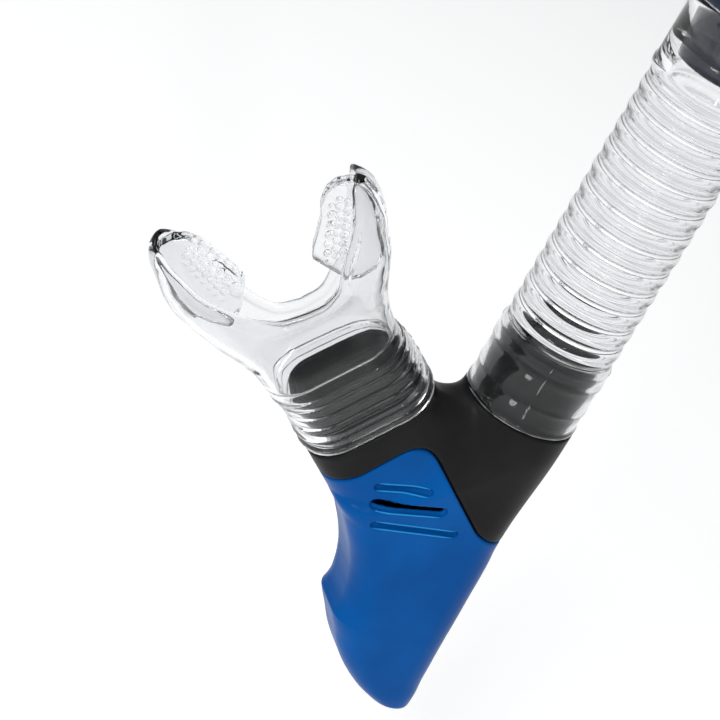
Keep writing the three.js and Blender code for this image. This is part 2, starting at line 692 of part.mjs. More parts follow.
function topCap() {
  const profile = (inset) => skin([
    section(TOP_LEFT + inset, TOP_RIGHT - inset, TOP_DEPTH - inset, 13 - inset, 3.3 - (inset ? 1 : 0)),
    section(TOP_LEFT + inset, TOP_RIGHT - inset, TOP_DEPTH - inset, 13 - inset, TOP_HEIGHT - 10),
    section(TOP_LEFT + 1 + inset, TOP_RIGHT - 1.6 - inset, TOP_DEPTH - 0.9 - inset, 12 - inset, TOP_HEIGHT - 5),
    section(TOP_LEFT + 4 + inset, TOP_RIGHT - 5 - inset, TOP_DEPTH - 3.4 - inset, 10 - inset, TOP_HEIGHT - 1.2 - inset),
    section(TOP_LEFT + 6.5 + inset, TOP_RIGHT - 8 - inset, TOP_DEPTH - 5.6 - inset, 8 - inset, TOP_HEIGHT - inset),
  ]);
  const slots = [];
  for (let row = 0; row < 4; row++) {
    const x = -6 + row * 8;
    slots.push(solid(box(x, x + 3, -40, 40, 12, 40)));
  }
  for (const y of [-5, 2]) {
    slots.push(solid(box(-60, 60, y, y + 3, 12, 40)));
  }
  return cut(solid(profile(0)), solid(profile(CAP_WALL)), ...slots);
}

// Small pins through the cap's skirt and into the base plate's rim keep the cap on.
const CAP_PIN_X = 8;
const CAP_PIN_HEIGHT = 6;

// ---- assembly -------------------------------------------------------------------------------------
const snorkel = new THREE.Group();
snorkel.position.z = -KEEPER_HEIGHT;

const capPinHoles = solid(crossRod(0.9 + 0.15, 60, CAP_PIN_X, CAP_PIN_HEIGHT - 0.8, 12));

snorkel.add(
  piece('purge_housing', purgeHousing(), black()),
  piece('purge_cover', purgeCover(), blue()),
  piece('valve_seat', valveSeat().translate([NECK_X, 0, 0]), black()),
  piece('purge_diaphragm', diaphragm().translate([NECK_X, 0, 0]), clear()),
  piece('mouthpiece', mouthpiece(), clear()),
  piece('flex_hose', flexHose(), clear()),
  piece('barrel', barrel(), navy()),
  piece('keeper_sleeve', keeperSleeve(), black()),
  piece('keeper_plate', keeperPlate(), black()),
  piece('keeper_rivet', keeperRivet(), steel()),
  piece('keeper_button', keeperButton(), blue()),
);

const dryTop = new THREE.Group();
dryTop.position.set(barrelTop[0], 0, barrelTop[1]);
dryTop.rotation.y = -bendAngle;
dryTop.add(
  piece('top_base', cut(topBase(), capPinHoles), black()),
  piece('top_o_ring', topORing(), black()),
  piece('lever_pin', leverPin(), steel()),
  piece('float_lever', floatLever(), black()),
  piece('flap_seal', flapSeal(), clear()),
  piece('float', floatBlock(), black()),
  piece('top_cap', cut(topCap(), capPinHoles), blue()),
);
for (const [name, side] of [['cap_pin_front', -1], ['cap_pin_back', 1]]) {
  const pin = crossRod(0.9, 3.6, CAP_PIN_X, CAP_PIN_HEIGHT - 0.8, 12).translate(0, side * 15.2, 0);
  dryTop.add(piece(name, solid(pin), steel()));
}
snorkel.add(dryTop);

export default snorkel;
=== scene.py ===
"""The looks of a diving snorkel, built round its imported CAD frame.

Most pieces are drawn as distance fields in millimetres and turned into meshes; round ones are
turned from an outline. Heights follow the part's own scale: 100 at the lower end of the hose and
262 at the part's origin, which is on the barrel's axis at the mask-strap keeper.
"""

import math

import bpy
import numpy as np
from mathutils import Matrix, Vector


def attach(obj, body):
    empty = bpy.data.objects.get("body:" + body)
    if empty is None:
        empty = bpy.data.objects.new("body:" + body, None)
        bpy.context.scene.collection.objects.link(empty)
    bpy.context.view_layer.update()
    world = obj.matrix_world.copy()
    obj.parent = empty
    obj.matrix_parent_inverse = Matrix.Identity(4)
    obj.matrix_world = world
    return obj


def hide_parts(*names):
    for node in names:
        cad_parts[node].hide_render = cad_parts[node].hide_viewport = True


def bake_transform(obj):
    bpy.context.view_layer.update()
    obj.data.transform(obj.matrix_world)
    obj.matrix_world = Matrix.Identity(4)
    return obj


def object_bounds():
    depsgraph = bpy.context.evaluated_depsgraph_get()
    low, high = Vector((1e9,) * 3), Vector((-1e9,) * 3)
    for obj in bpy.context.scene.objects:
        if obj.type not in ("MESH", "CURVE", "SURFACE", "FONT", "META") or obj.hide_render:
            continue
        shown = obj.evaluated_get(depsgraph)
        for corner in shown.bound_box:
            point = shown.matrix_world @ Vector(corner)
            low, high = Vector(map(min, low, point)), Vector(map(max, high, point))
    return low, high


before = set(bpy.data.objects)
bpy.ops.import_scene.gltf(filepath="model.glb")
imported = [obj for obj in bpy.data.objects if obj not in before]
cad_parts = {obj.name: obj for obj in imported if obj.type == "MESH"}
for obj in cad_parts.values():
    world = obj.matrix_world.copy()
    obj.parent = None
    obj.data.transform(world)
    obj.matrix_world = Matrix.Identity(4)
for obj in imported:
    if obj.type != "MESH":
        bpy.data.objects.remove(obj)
cad_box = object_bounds()

# ---- sizes, in millimetres and degrees -------------------------------------------------------
ORIGIN_HEIGHT = 262
GAP = 0.3
HOSE_BOTTOM = 100
CUFF = 21
RING_PITCH = 6.05
RING_COUNT = 13
RING_MIDDLE = 15.55
RING_SWELL = 0.22
RING_BORE = 13.0
RING_DEPTH = 1.55
RING_NECK = 15.3
HOSE_RADIUS = 16.2
HOSE_BORE = 13.5
HOSE_TOP = HOSE_BOTTOM + 2 * CUFF + RING_COUNT * RING_PITCH
SPIGOT_RADIUS = 13.2
SPIGOT_LENGTH = 22
AIRWAY = 11.0
LIMB_LEAN = 48.55
LIMB_BASE = (-40.9, 87.7)
LIMB_HALF = (18.7, 11.6)
SEAM_DROP = 10
SEAM_SIDE = 10.3
COVER_WALL = 1.9
MOUTH_SPIGOT = (15.7, 8.7, 18.5)
NECK_X = -7
NECK_BOTTOM = 47
BARREL_RADIUS = 13.5
BARREL_BOTTOM = HOSE_TOP - 16
STRAIGHT_TOP = 300
BEND = math.radians(12)
BEND_RADIUS = 380
BARREL_END = 8


# ---- turning fields into meshes --------------------------------------------------------------
def smooth_min(a, b, k):
    h = np.clip(0.5 + 0.5 * (b - a) / k, 0, 1)
    return b + (a - b) * h - k * h * (1 - h)


def smooth_max(a, b, k):
    return -smooth_min(-a, -b, k)


def surface(values, low, step):
    """Vertices and four-sided faces of the surface where the values change sign (surface nets)."""
    nx, ny, nz = values.shape
    inside = values < 0
    corners = [(i, j, k) for i in (0, 1) for j in (0, 1) for k in (0, 1)]

    def shifted(array, c):
        return array[c[0]:nx - 1 + c[0], c[1]:ny - 1 + c[1], c[2]:nz - 1 + c[2]]

    count = np.zeros((nx - 1, ny - 1, nz - 1), np.int8)
    for c in corners:
        count += shifted(inside, c)
    active = (count > 0) & (count < 8)
    cells = np.argwhere(active)
    corner_values = np.stack([shifted(values, c)[active] for c in corners], 1)
    total = np.zeros((len(cells), 3))
    hits = np.zeros(len(cells))
    for a in range(8):
        for b in range(a + 1, 8):
            ca, cb = np.array(corners[a]), np.array(corners[b])
            if abs(ca - cb).sum() != 1:
                continue
            va, vb = corner_values[:, a], corner_values[:, b]
            crossing = (va < 0) != (vb < 0)
            share = np.where(crossing, va / np.where(crossing, va - vb, 1), 0)
            total += np.where(crossing[:, None], ca + share[:, None] * (cb - ca), 0)
            hits += crossing
    vertices = np.array(low) + step * (cells + total / hits[:, None])
    number = np.full(active.shape, -1, np.int64)
    number[active] = np.arange(len(cells))
    faces = []
    for axis in range(3):
        u, v = [n for n in range(3) if n != axis]
        ahead = np.roll(inside, -1, axis)
        changes = inside != ahead
        keep = [slice(1, -1)] * 3
        keep[axis] = slice(0, -1)
        found = np.argwhere(changes[tuple(keep)]) + [0 if n == axis else 1 for n in range(3)]
        if not len(found):
            continue
        eu, ev = np.eye(3, dtype=int)[u], np.eye(3, dtype=int)[v]
        ring = [found - eu - ev, found - ev, found, found - eu]
        quad = np.stack([number[tuple(cell.T)] for cell in ring], 1)
        leaving = inside[tuple(found.T)]
        flip = leaving if axis != 1 else ~leaving
        quad[~flip] = quad[~flip][:, ::-1]
        faces.append(quad)
    return vertices, np.concatenate(faces)


def relaxed(vertices, faces, times):
    """Evens out the small steps that the grid leaves."""
    edges = np.concatenate([faces[:, [i, (i + 1) % 4]] for i in range(4)])
    number = len(vertices)
    degree = np.bincount(edges.ravel(), minlength=number)
    for _ in range(times):
        for direction in (0.5, -0.52):
            average = np.stack([
                np.bincount(edges[:, 0], vertices[edges[:, 1], n], number)
                + np.bincount(edges[:, 1], vertices[edges[:, 0], n], number)
                for n in range(3)
            ], 1) / degree[:, None]
            vertices = vertices + direction * (average - vertices)
    return vertices


def mesh_object(name, vertices, faces, materials, place=None):
    """A smooth-shaded object from points in millimetres. place turns them into the part's scale."""
    if place is not None:
        vertices = place(vertices)
    points = np.array(vertices, np.float64)
    points[:, 2] -= ORIGIN_HEIGHT
    points /= 1000
    if isinstance(faces, list):
        sizes = np.array([len(face) for face in faces])
        corners = np.concatenate(faces)
    else:
        sizes = np.full(len(faces), faces.shape[1])
        corners = faces.ravel()
    starts = np.concatenate([[0], np.cumsum(sizes)[:-1]])
    mesh = bpy.data.meshes.new(name)
    mesh.vertices.add(len(points))
    mesh.vertices.foreach_set("co", points.astype(np.float32).ravel())
    mesh.loops.add(len(corners))
    mesh.loops.foreach_set("vertex_index", corners.astype(np.int32))
    mesh.polygons.add(len(sizes))
    mesh.polygons.foreach_set("loop_start", starts.astype(np.int32))
    mesh.update(calc_edges=True)
    mesh.validate()
    mesh.shade_smooth()
    for material in materials:
        mesh.materials.append(material)
    shown = bpy.data.objects.new(name, mesh)
    bpy.context.scene.collection.objects.link(shown)
    return shown


def sculpt(name, field, low, high, step, materials, place=None, smooth=3, paint=None):
    """An object from a distance field over a box. paint picks a material for each face's middle."""
    low = [edge - 2.5 * step for edge in low]
    axes = [np.arange(a, b + 2.5 * step, step, dtype=np.float32) for a, b in zip(low, high)]
    x, y, z = axes[0][:, None, None], axes[1][None, :, None], axes[2][None, None, :]
    values = np.broadcast_to(field(x, y, z), (len(axes[0]), len(axes[1]), len(axes[2])))
    vertices, faces = surface(np.ascontiguousarray(values), low, step)
    vertices = relaxed(vertices, faces, smooth)
    shown = mesh_object(name, vertices, faces, materials, place)
    if paint is not None:
        middles = vertices[faces].mean(1)
        shown.data.polygons.foreach_set("material_index", paint(middles).astype(np.int32))
    return shown


def turn(name, outline, materials, sides=96, place=None, axis=(0.0, 0.0)):
    """A round object turned from a closed outline of (radius, height) points."""
    outline = np.array(outline, float)
    angles = np.arange(sides) * 2 * math.pi / sides
    radius, height = outline[:, 0], outline[:, 1]
    vertices = np.stack([
        axis[0] + radius[None, :] * np.cos(angles)[:, None],
        axis[1] + radius[None, :] * np.sin(angles)[:, None],
        np.broadcast_to(height[None, :], (sides, len(height))),
    ], 2).reshape(-1, 3)
    count = len(outline)
    i, j = np.meshgrid(np.arange(sides), np.arange(count), indexing="ij")
    i2, j2 = (i + 1) % sides, (j + 1) % count
    faces = np.stack([i * count + j, i2 * count + j, i2 * count + j2, i * count + j2], 2).reshape(-1, 4)
    return mesh_object(name, vertices, faces, materials, place)


# ---- distance fields -------------------------------------------------------------------------
def blend_rows(at, rows, column):
    """A column of a table of rows, read smoothly at the given places, without overshooting."""
    rows = sorted(rows)
    t = np.array([row[0] for row in rows], float)
    v = np.array([row[column] for row in rows], float)
    slope = np.diff(v) / np.diff(t)
    tangent = np.zeros(len(v))
    inner = slope[:-1] * slope[1:] > 0
    tangent[1:-1][inner] = 2 * slope[:-1][inner] * slope[1:][inner] / (slope[:-1] + slope[1:])[inner]
    tangent[0], tangent[-1] = slope[0], slope[-1]
    at = np.clip(at, t[0], t[-1])
    i = np.clip(np.searchsorted(t, at, side="right") - 1, 0, len(t) - 2)
    width = t[i + 1] - t[i]
    s = (at - t[i]) / width
    return (
        v[i] * (1 + 2 * s) * (1 - s) ** 2
        + tangent[i] * width * s * (1 - s) ** 2
        + v[i + 1] * s * s * (3 - 2 * s)
        + tangent[i + 1] * width * s * s * (s - 1)
    )


def round_rect(x, y, left, right, depth, corner_left, corner_right=None):
    """Distance to a rectangle with round corners, which may differ left and right."""
    middle, half = (left + right) / 2, (right - left) / 2
    corner = corner_left if corner_right is None else np.where(x < middle, corner_left, corner_right)
    qx = abs(x - middle) - half + corner
    qy = abs(y) - depth + corner
    return np.hypot(np.maximum(qx, 0), np.maximum(qy, 0)) + np.minimum(np.maximum(qx, qy), 0) - corner


def round_box(x, y, z, centre, half, corner):
    q = [abs(v - c) - h + corner for v, c, h in zip((x, y, z), centre, half)]
    outside = np.sqrt(sum(np.maximum(v, 0) ** 2 for v in q))
    return outside + np.minimum(np.maximum(np.maximum(q[0], q[1]), q[2]), 0) - corner


def flat_outline(points, x, z):
    """Distance to a closed outline in the X-Z plane, negative inside, the same for every y."""
    px, pz = x[:, 0, :], z[0, :, :]
    distance = np.full(np.broadcast_shapes(px.shape, pz.shape), 1e9)
    inside = np.zeros(distance.shape, bool)
    for (x0, z0), (x1, z1) in zip(points, points[1:] + points[:1]):
        ex, ez = x1 - x0, z1 - z0
        t = np.clip(((px - x0) * ex + (pz - z0) * ez) / (ex * ex + ez * ez), 0, 1)
        distance = np.minimum(distance, np.hypot(px - x0 - t * ex, pz - z0 - t * ez))
        if z0 != z1:
            inside ^= ((z0 > pz) != (z1 > pz)) & (px < ex * (pz - z0) / ez + x0)
    return np.where(inside, -distance, distance)[:, None, :]


def segment(px, py, pz, start, end):
    """Distance to a straight line between two points."""
    along = [e - s for s, e in zip(start, end)]
    rel = [px - start[0], py - start[1], pz - start[2]]
    t = np.clip(sum(r * a for r, a in zip(rel, along)) / sum(a * a for a in along), 0, 1)
    return np.sqrt(sum((r - t * a) ** 2 for r, a in zip(rel, along)))


def curve(start, control, end, steps=10):
    """Points on a quadratic curve, the start left out."""
    found = []
    for n in range(1, steps + 1):
        t = n / steps
        found.append(tuple(
            (1 - t) ** 2 * s + 2 * t * (1 - t) * c + t * t * e for s, c, e in zip(start, control, end)
        ))
    return found


# ---- the mouthpiece limb's own frame ---------------------------------------------------------
LEAN = math.radians(LIMB_LEAN)


def limb_place(points):
    """From the limb's frame (across, thickness, along) to the part's scale."""
    w, y, a = points[:, 0], points[:, 1], points[:, 2]
    return np.stack([
        LIMB_BASE[0] + w * math.cos(LEAN) - a * math.sin(LEAN),
        y,
        LIMB_BASE[1] + w * math.sin(LEAN) + a * math.cos(LEAN),
    ], 1)


def limb_point(w, a):
    x, _, z = limb_place(np.array([[w, 0, a]]))[0]
    return (x, z)


def limb_coordinates(x, z):
    dx, dz = x - LIMB_BASE[0], z - LIMB_BASE[1]
    return dx * math.cos(LEAN) + dz * math.sin(LEAN), dz * math.cos(LEAN) - dx * math.sin(LEAN)


# ---- purge housing and cover -----------------------------------------------------------------
# Rows of height, left, right, half depth, left corner radius, right corner radius.
BODY_ROWS = [
    (101, -16.2, 16.2, 16.2, 16.2, 16.2),
    (92, -16.6, 16.1, 15.9, 15.7, 15.7),
    (84, -20, 15.8, 14.9, 14.4, 14.4),
    (75, -28, 15.3, 13.7, 13, 13),
    (66, -38.5, 14.9, 13, 12, 12.2),
    (63.5, -40.5, 14.9, 12.8, 10, 12),
    (58, -35.6, 15, 12.6, 8, 11.8),
    (52, -31.2, 15.6, 12.5, 7.5, 11.6),
    (46, -27.3, 15.9, 12.4, 7.5, 11.4),
    (40, -24.3, 16.1, 12.3, 7.5, 11.3),
    (34, -22.4, 16.4, 12.2, 7.5, 11.2),
    (29, -21.6, 16.6, 12.1, 7.5, 11.1),
    (26, -22, 16.7, 12, 7.5, 11),
    (25, -22.3, 16.7, 12, 7.5, 11),
    (24, -21.8, 16.75, 12, 7.5, 11),
    (19, -18.6, 17, 11.8, 7.5, 10.8),
    (13, -14.8, 17.4, 11.5, 7.5, 10.5),
    (7, -9.8, 17.8, 11, 7.5, 10),
    (1, -3, 18.1, 10.4, 7, 8.5),
    (-3, 3, 18.1, 9.4, 6.4, 7),
    (-6, 8, 17.6, 8.4, 5, 5),
]
TOE = -5.0
SADDLE = (-21, 96)


def outer_form(x, y, z):
    """The smooth outside that the housing and the cover share."""
    sizes = [blend_rows(z, BODY_ROWS, column) for column in range(1, 6)]
    body = round_rect(x, y, *sizes)
    body = smooth_max(body, TOE - z, 2.5)
    body = np.maximum(body, z - HOSE_BOTTOM)
    w, a = limb_coordinates(x, z)
    limb = round_rect(w, y, -LIMB_HALF[0], LIMB_HALF[0], LIMB_HALF[1], 11.0)
    limb = smooth_max(limb, a, 0.8)
    limb = np.maximum(limb, -30 - a)
    near = np.exp(-((x - SADDLE[0]) ** 2 + (z - SADDLE[1]) ** 2) / (2 * 9.5 ** 2))
    return smooth_min(body, limb, 1.0 + 15 * near)


def seam_outline():
    """Everything below the parting line, as an outline in X and height."""
    start = limb_point(SEAM_SIDE - 8, 1.2 - SEAM_DROP)
    end = limb_point(SEAM_SIDE, -SEAM_DROP - 8)
    low = limb_point(SEAM_SIDE, -SEAM_DROP - 36)
    points = [limb_point(-40, -SEAM_DROP), start]
    points += curve(start, limb_point(SEAM_SIDE, 1.5 - SEAM_DROP), end)
    points += [low] + curve(low, (low[0] + 6, low[1] - 4.5), (20, 60.5))
    return points + [(60, 60.5), (60, -60), (-90, -60)]


SEAM = seam_outline()
# Both ends of each groove as (across, along) in the limb's frame, and whether it goes through.
GROOVES = [
    ((-6.7, -15.2), (4.3, -24.5), False),
    ((-9.4, -20.4), (4.8, -32.8), True),
    ((-12.4, -25.8), (4.9, -42.9), False),
]
POCKET_HALF = 1.1
WIDE_POCKET_HALF = 1.6
POCKET_DEPTH = 1.1
SLOT_HALF = 0.75


def cover_field(x, y, z):
    outer = outer_form(x, y, z)
    seam = flat_outline(SEAM, x, z)
    shell = smooth_max(outer, seam + 0.25, 0.7)
    for start, end, through in GROOVES:
        (x0, z0), (x1, z1) = limb_point(*start), limb_point(*end)
        bar = segment(x, 0, z, (x0, 0, z0), (x1, 0, z1))
        half = WIDE_POCKET_HALF if through else POCKET_HALF
        pocket = smooth_max(bar - half, -outer - POCKET_DEPTH, 0.3)
        shell = smooth_max(shell, -pocket, 0.3)
        if through:
            slot = np.maximum(bar - SLOT_HALF, 7 - abs(y))
            shell = smooth_max(shell, -slot, 0.25)
    hollow = outer + COVER_WALL
    window = round_box(x, y, z, (20, 0, 36), (12, 5.5, 12), 3)
    drain = round_box(x, y, z, (8.5, 0, -10), (2.5, 3, 16), 1)
    return smooth_max(smooth_max(smooth_max(shell, -hollow, 0.3), -window, 0.6), -drain, 0.4)


def edge_tube(first, last, side, radius=0.24, steps=28, sides=10):
    """A fine raised line laid on the cover's outer surface between two (X, height) points."""
    share = np.linspace(0, 1, steps)
    x = first[0] + (last[0] - first[0]) * share
    z = first[1] + (last[1] - first[1]) * share
    low, high = np.full(steps, 4.0), np.full(steps, 20.0)
    for _ in range(24):
        middle = (low + high) / 2
        outside = outer_form(x, middle, z) > -0.06
        high, low = np.where(outside, middle, high), np.where(outside, low, middle)
    path = np.stack([x, side * low, z], 1)
    along = np.gradient(path, axis=0)
    along /= np.linalg.norm(along, axis=1)[:, None]
    outward = np.array([0, side, 0]) - along * (along[:, 1] * side)[:, None]
    outward /= np.linalg.norm(outward, axis=1)[:, None]
    across = np.cross(along, outward)
    taper = radius * np.minimum(1, 0.25 + 6 * np.minimum(share, 1 - share))
    angle = np.arange(sides) * 2 * math.pi / sides
    ring = np.cos(angle)[None, :, None] * outward[:, None, :]
    ring = ring + np.sin(angle)[None, :, None] * across[:, None, :]
    return (path[:, None, :] + ring * taper[:, None, None]).reshape(-1, 3), steps, sides


def groove_highlight_edges():
    """Vertices and faces of the raised lines along every groove, on both sides of the cover; their
    lighter blue is a painted highlight on the grooves' edges.
    """
    vertices, faces, total = [], [], 0
    for start, end, through in GROOVES:
        (x0, z0), (x1, z1) = limb_point(*start), limb_point(*end)
        length = math.hypot(x1 - x0, z1 - z0)
        down = ((z1 - z0) / length, -(x1 - x0) / length)
        if down[1] > 0:
            down = (-down[0], -down[1])
        for offset in ((1.7,) if through else (1.2, -1.2)):
            shift = (down[0] * offset, down[1] * offset)
            ends = [(px + shift[0], pz + shift[1]) for px, pz in ((x0, z0), (x1, z1))]
            for side in (-1, 1):
                points, steps, sides = edge_tube(*ends, side)
                vertices.append(points)
                for n in range(steps - 1):
                    for k in range(sides):
                        a, b = total + n * sides + k, total + n * sides + (k + 1) % sides
                        faces.append([a, b, b + sides, a + sides])
                faces.append([total + k for k in range(sides)][::-1])
                faces.append([total + (steps - 1) * sides + k for k in range(sides)])
                total += len(points)
    return np.concatenate(vertices), faces


def housing_field(x, y, z):
    outer = outer_form(x, y, z)
    seam = flat_outline(SEAM, x, z)
    w, a = limb_coordinates(x, z)
    shell = smooth_max(outer, -(seam - 0.2), 0.6)
    high_x, high_z = limb_point(SEAM_SIDE + 2.2, -SEAM_DROP - 11.9)
    low_x, low_z = limb_point(SEAM_SIDE + 2.0, -SEAM_DROP - 14.3)
    for side in (-1, 1):
        dent = segment(x, y, z, (high_x, side * 15.6, high_z), (low_x, side * 15.2, low_z)) - 1.35
        shell = smooth_max(shell, -dent, 0.5)
    lip = np.maximum(outer + COVER_WALL + GAP, -(seam + 4))
    lip = np.maximum(lip, seam)
    shell = np.minimum(shell, lip)
    radius = np.hypot(x, y)
    spigot = smooth_max(radius - SPIGOT_RADIUS, z - (HOSE_BOTTOM + SPIGOT_LENGTH), 1.2)
    spigot = np.maximum(spigot, 90 - z)
    mouth = round_rect(w, y, -MOUTH_SPIGOT[0], MOUTH_SPIGOT[0], MOUTH_SPIGOT[1], 8.2)
    mouth = np.maximum(smooth_max(mouth, a - MOUTH_SPIGOT[2], 1.2), -4 - a)
    neck_radius = np.hypot(x - NECK_X, y)
    neck = np.maximum(np.maximum(neck_radius - 10, NECK_BOTTOM - z), z - 72)
    block = np.minimum(smooth_min(shell, mouth, 0.6), smooth_min(shell, spigot, 0.6))
    block = np.minimum(block, neck)
    cavity = np.maximum(np.maximum(outer + 2.4, -(seam - 2.6)), z - 98)
    bore = np.maximum(radius - AIRWAY, 80 - z)
    mouth_bore = np.maximum(round_rect(w, y, -13.7, 13.7, 6.7, 6.2), -12 - a)
    neck_bore = np.maximum(neck_radius - 8.4, z - 80)
    airway = smooth_min(smooth_min(cavity, bore, 2), mouth_bore, 2)
    airway = np.minimum(airway, neck_bore)
    return smooth_max(block, -airway, 0.6)


# ---- mouthpiece ------------------------------------------------------------------------------
# Rows of along, half width, half depth.
NECK_ROWS = [
    (GAP, 18.9, 11.5), (2, 18.9, 11.5), (10, 18.6, 11.4), (19, 18.3, 11.2), (26, 18.6, 10.4),
    (30, 19.1, 9.4), (34, 20.4, 7.8), (38, 22, 6.2), (44.5, 25, 5.4), (50, 27.4, 5), (56, 28.8, 4.6),
    (62, 29.5, 4), (69, 29.2, 3), (75, 27, 2),
]
# Rows of share of the way from the middle to a wing's tip, across, along: where the bell is cut off.
GUARD_ROWS = [
    (0, 0, 39.2), (0.12, 5.6, 40), (0.24, 10, 43), (0.37, 13.6, 47), (0.5, 16.6, 52),
    (0.62, 19.2, 56.4), (0.74, 21.4, 60.8), (0.85, 23.2, 66), (0.93, 24.6, 70.5), (1, 25.6, 74.8),
]
TAB = [
    (14, 46.2), (12.7, 47.6), (8.7, 54.9), (9.8, 58), (11.6, 61.6), (13.4, 65.3), (15, 69.6),
    (17.9, 72.8), (21, 74), (24.2, 73.4), (26.8, 71.6), (28.2, 66), (28, 60), (26, 51),
    (22, 46), (17, 44.6),
]
# Rows of across, half depth of the open bell; and of along, share of that depth left near a wing's tip.
BELL_ROWS = [(0, 4), (5.6, 4.4), (10.2, 5.8), (15, 7.8), (20.2, 9.8), (25, 11), (32, 11.4)]
TIP_ROWS = [(60, 1), (64, 0.97), (68, 0.86), (71, 0.7), (73.5, 0.5), (76, 0.3)]
BELL_WALL = 1.8
NECK_RIBS = (3.0, 6.4, 10.6, 14.4, 17.8, 20.6)
NECK_GROOVES = (4.7, 8.2)
# Rows of how far out from the tab's inner edge, and how many nubs stand there.
NUB_ROWS = ((2.3, 7), (4.5, 7), (6.7, 6))
NUB_RADIUS = 0.85
MOUTH_BORE_ROWS = [(-2, 16, 9), (19.2, 16, 9), (24, 15, 7.6)]
WING_CURL = 1.5
GUARD_TWIST = math.radians(-14)
NECK_SHIFT = -1.6
GUARD_SHIFT = -0.8


def ease(value, low, high):
    share = np.clip((value - low) / (high - low), 0, 1)
    return share * share * (3 - 2 * share)


def mouth_place(points):
    """Curls the wings' rims inwards and gives the soft guard the slight turn that it rests in."""
    w, y, a = points[:, 0], points[:, 1], points[:, 2]
    w = w - np.tanh(w / 8) * WING_CURL * ease(a, 40, 52) * (y / 12.5) ** 2
    w = w + NECK_SHIFT * ease(a, 14, 24)
    w = w + GUARD_SHIFT * ease(a, 30, 42) - GUARD_SHIFT * 2 * ease(a, 54, 68)
    turn_angle = GUARD_TWIST * ease(a, 26, 50)
    c, s = np.cos(turn_angle), np.sin(turn_angle)
    return limb_place(np.stack([w * c - y * s, y * c + w * s, a], 1))


def guard_line():
    shares = np.linspace(0, 1, 60)
    half = np.stack([blend_rows(shares, GUARD_ROWS, column) for column in (1, 2)], 1)
    mirrored = half[:0:-1] * [-1, 1]
    return np.concatenate([mirrored, half])


def mouthpiece_field(w, y, a):
    half_width = blend_rows(a, NECK_ROWS, 1)
    open_share = ease(a, 26, 38)
    half_depth = blend_rows(a, NECK_ROWS, 2) * (1 - open_share)
    half_depth = half_depth + blend_rows(abs(w), BELL_ROWS, 1) * blend_rows(a, TIP_ROWS, 1) * open_share
    bell = round_rect(w, y, -half_width, half_width, half_depth, half_depth - 0.5)
    flare = smooth_max(bell, GAP - a, 1.0)
    for height in NECK_RIBS:
        flare = flare - np.exp(-((a - height) / 0.5) ** 2) * 0.5
    for height in NECK_GROOVES:
        flare = flare + np.exp(-((a - height) / 0.5) ** 2) * 0.45
    line = guard_line()
    pw, pa = w[:, 0, :], a[0, :, :]
    nearest = np.full(np.broadcast_shapes(pw.shape, pa.shape), 1e9)
    mouth_side = np.zeros(nearest.shape, bool)
    for (w0, a0), (w1, a1) in zip(line[:-1], line[1:]):
        ew, ea = w1 - w0, a1 - a0
        length = math.hypot(ew, ea)
        t = np.clip(((pw - w0) * ew + (pa - a0) * ea) / length ** 2, 0, 1)
        distance = np.hypot(pw - w0 - t * ew, pa - a0 - t * ea)
        closer = distance < nearest
        nearest = np.where(closer, distance, nearest)
        mouth_side = np.where(closer, ew * (pa - a0) - ea * (pw - w0) > 0, mouth_side)
    nearest, mouth_side = nearest[:, None, :], mouth_side[:, None, :]
    bead_radius = 1.35 - 0.45 * ease(a, 60, 72)
    bead = np.maximum(np.hypot(nearest, bell + 0.9) - bead_radius, 36 - a)
    bead = smooth_max(bead, a - 73.6, 1.0)
    cut = np.where(mouth_side & (abs(w) < 25.7), nearest, -nearest)
    flare = smooth_max(smooth_max(flare, a - 74.3, 2.0), cut, 0.6)
    bore_half = blend_rows(a, MOUTH_BORE_ROWS, 1)
    bore_depth = blend_rows(a, MOUTH_BORE_ROWS, 2)
    bore = np.maximum(round_rect(w, y, -bore_half, bore_half, bore_depth, bore_depth - 0.3), a - 26)
    hollow = smooth_max(bell + BELL_WALL, 23 - a, 1.0)
    body = smooth_max(flare, -smooth_min(bore, hollow, 1.0), 0.5)
    body = smooth_min(body, bead, 0.8)
    outline = flat_outline(TAB, abs(w), a)
    tab = smooth_max(outline, abs(y) - 1.9, 0.9)
    for row, (offset, count) in enumerate(NUB_ROWS):
        for n in range(count):
            share = 0.1 + 0.8 * (n + 0.5 * (row % 2)) / count
            cw = 17.2 + share * 7.2 - offset * 0.85
            ca = 50.0 + share * 20.5 + offset * 0.15
            nub = np.sqrt((abs(w) - cw) ** 2 + (a - ca) ** 2 + (abs(y) - 1.75) ** 2) - NUB_RADIUS
            tab = smooth_min(tab, nub, 0.3)
    return smooth_min(body, tab, 1.2)


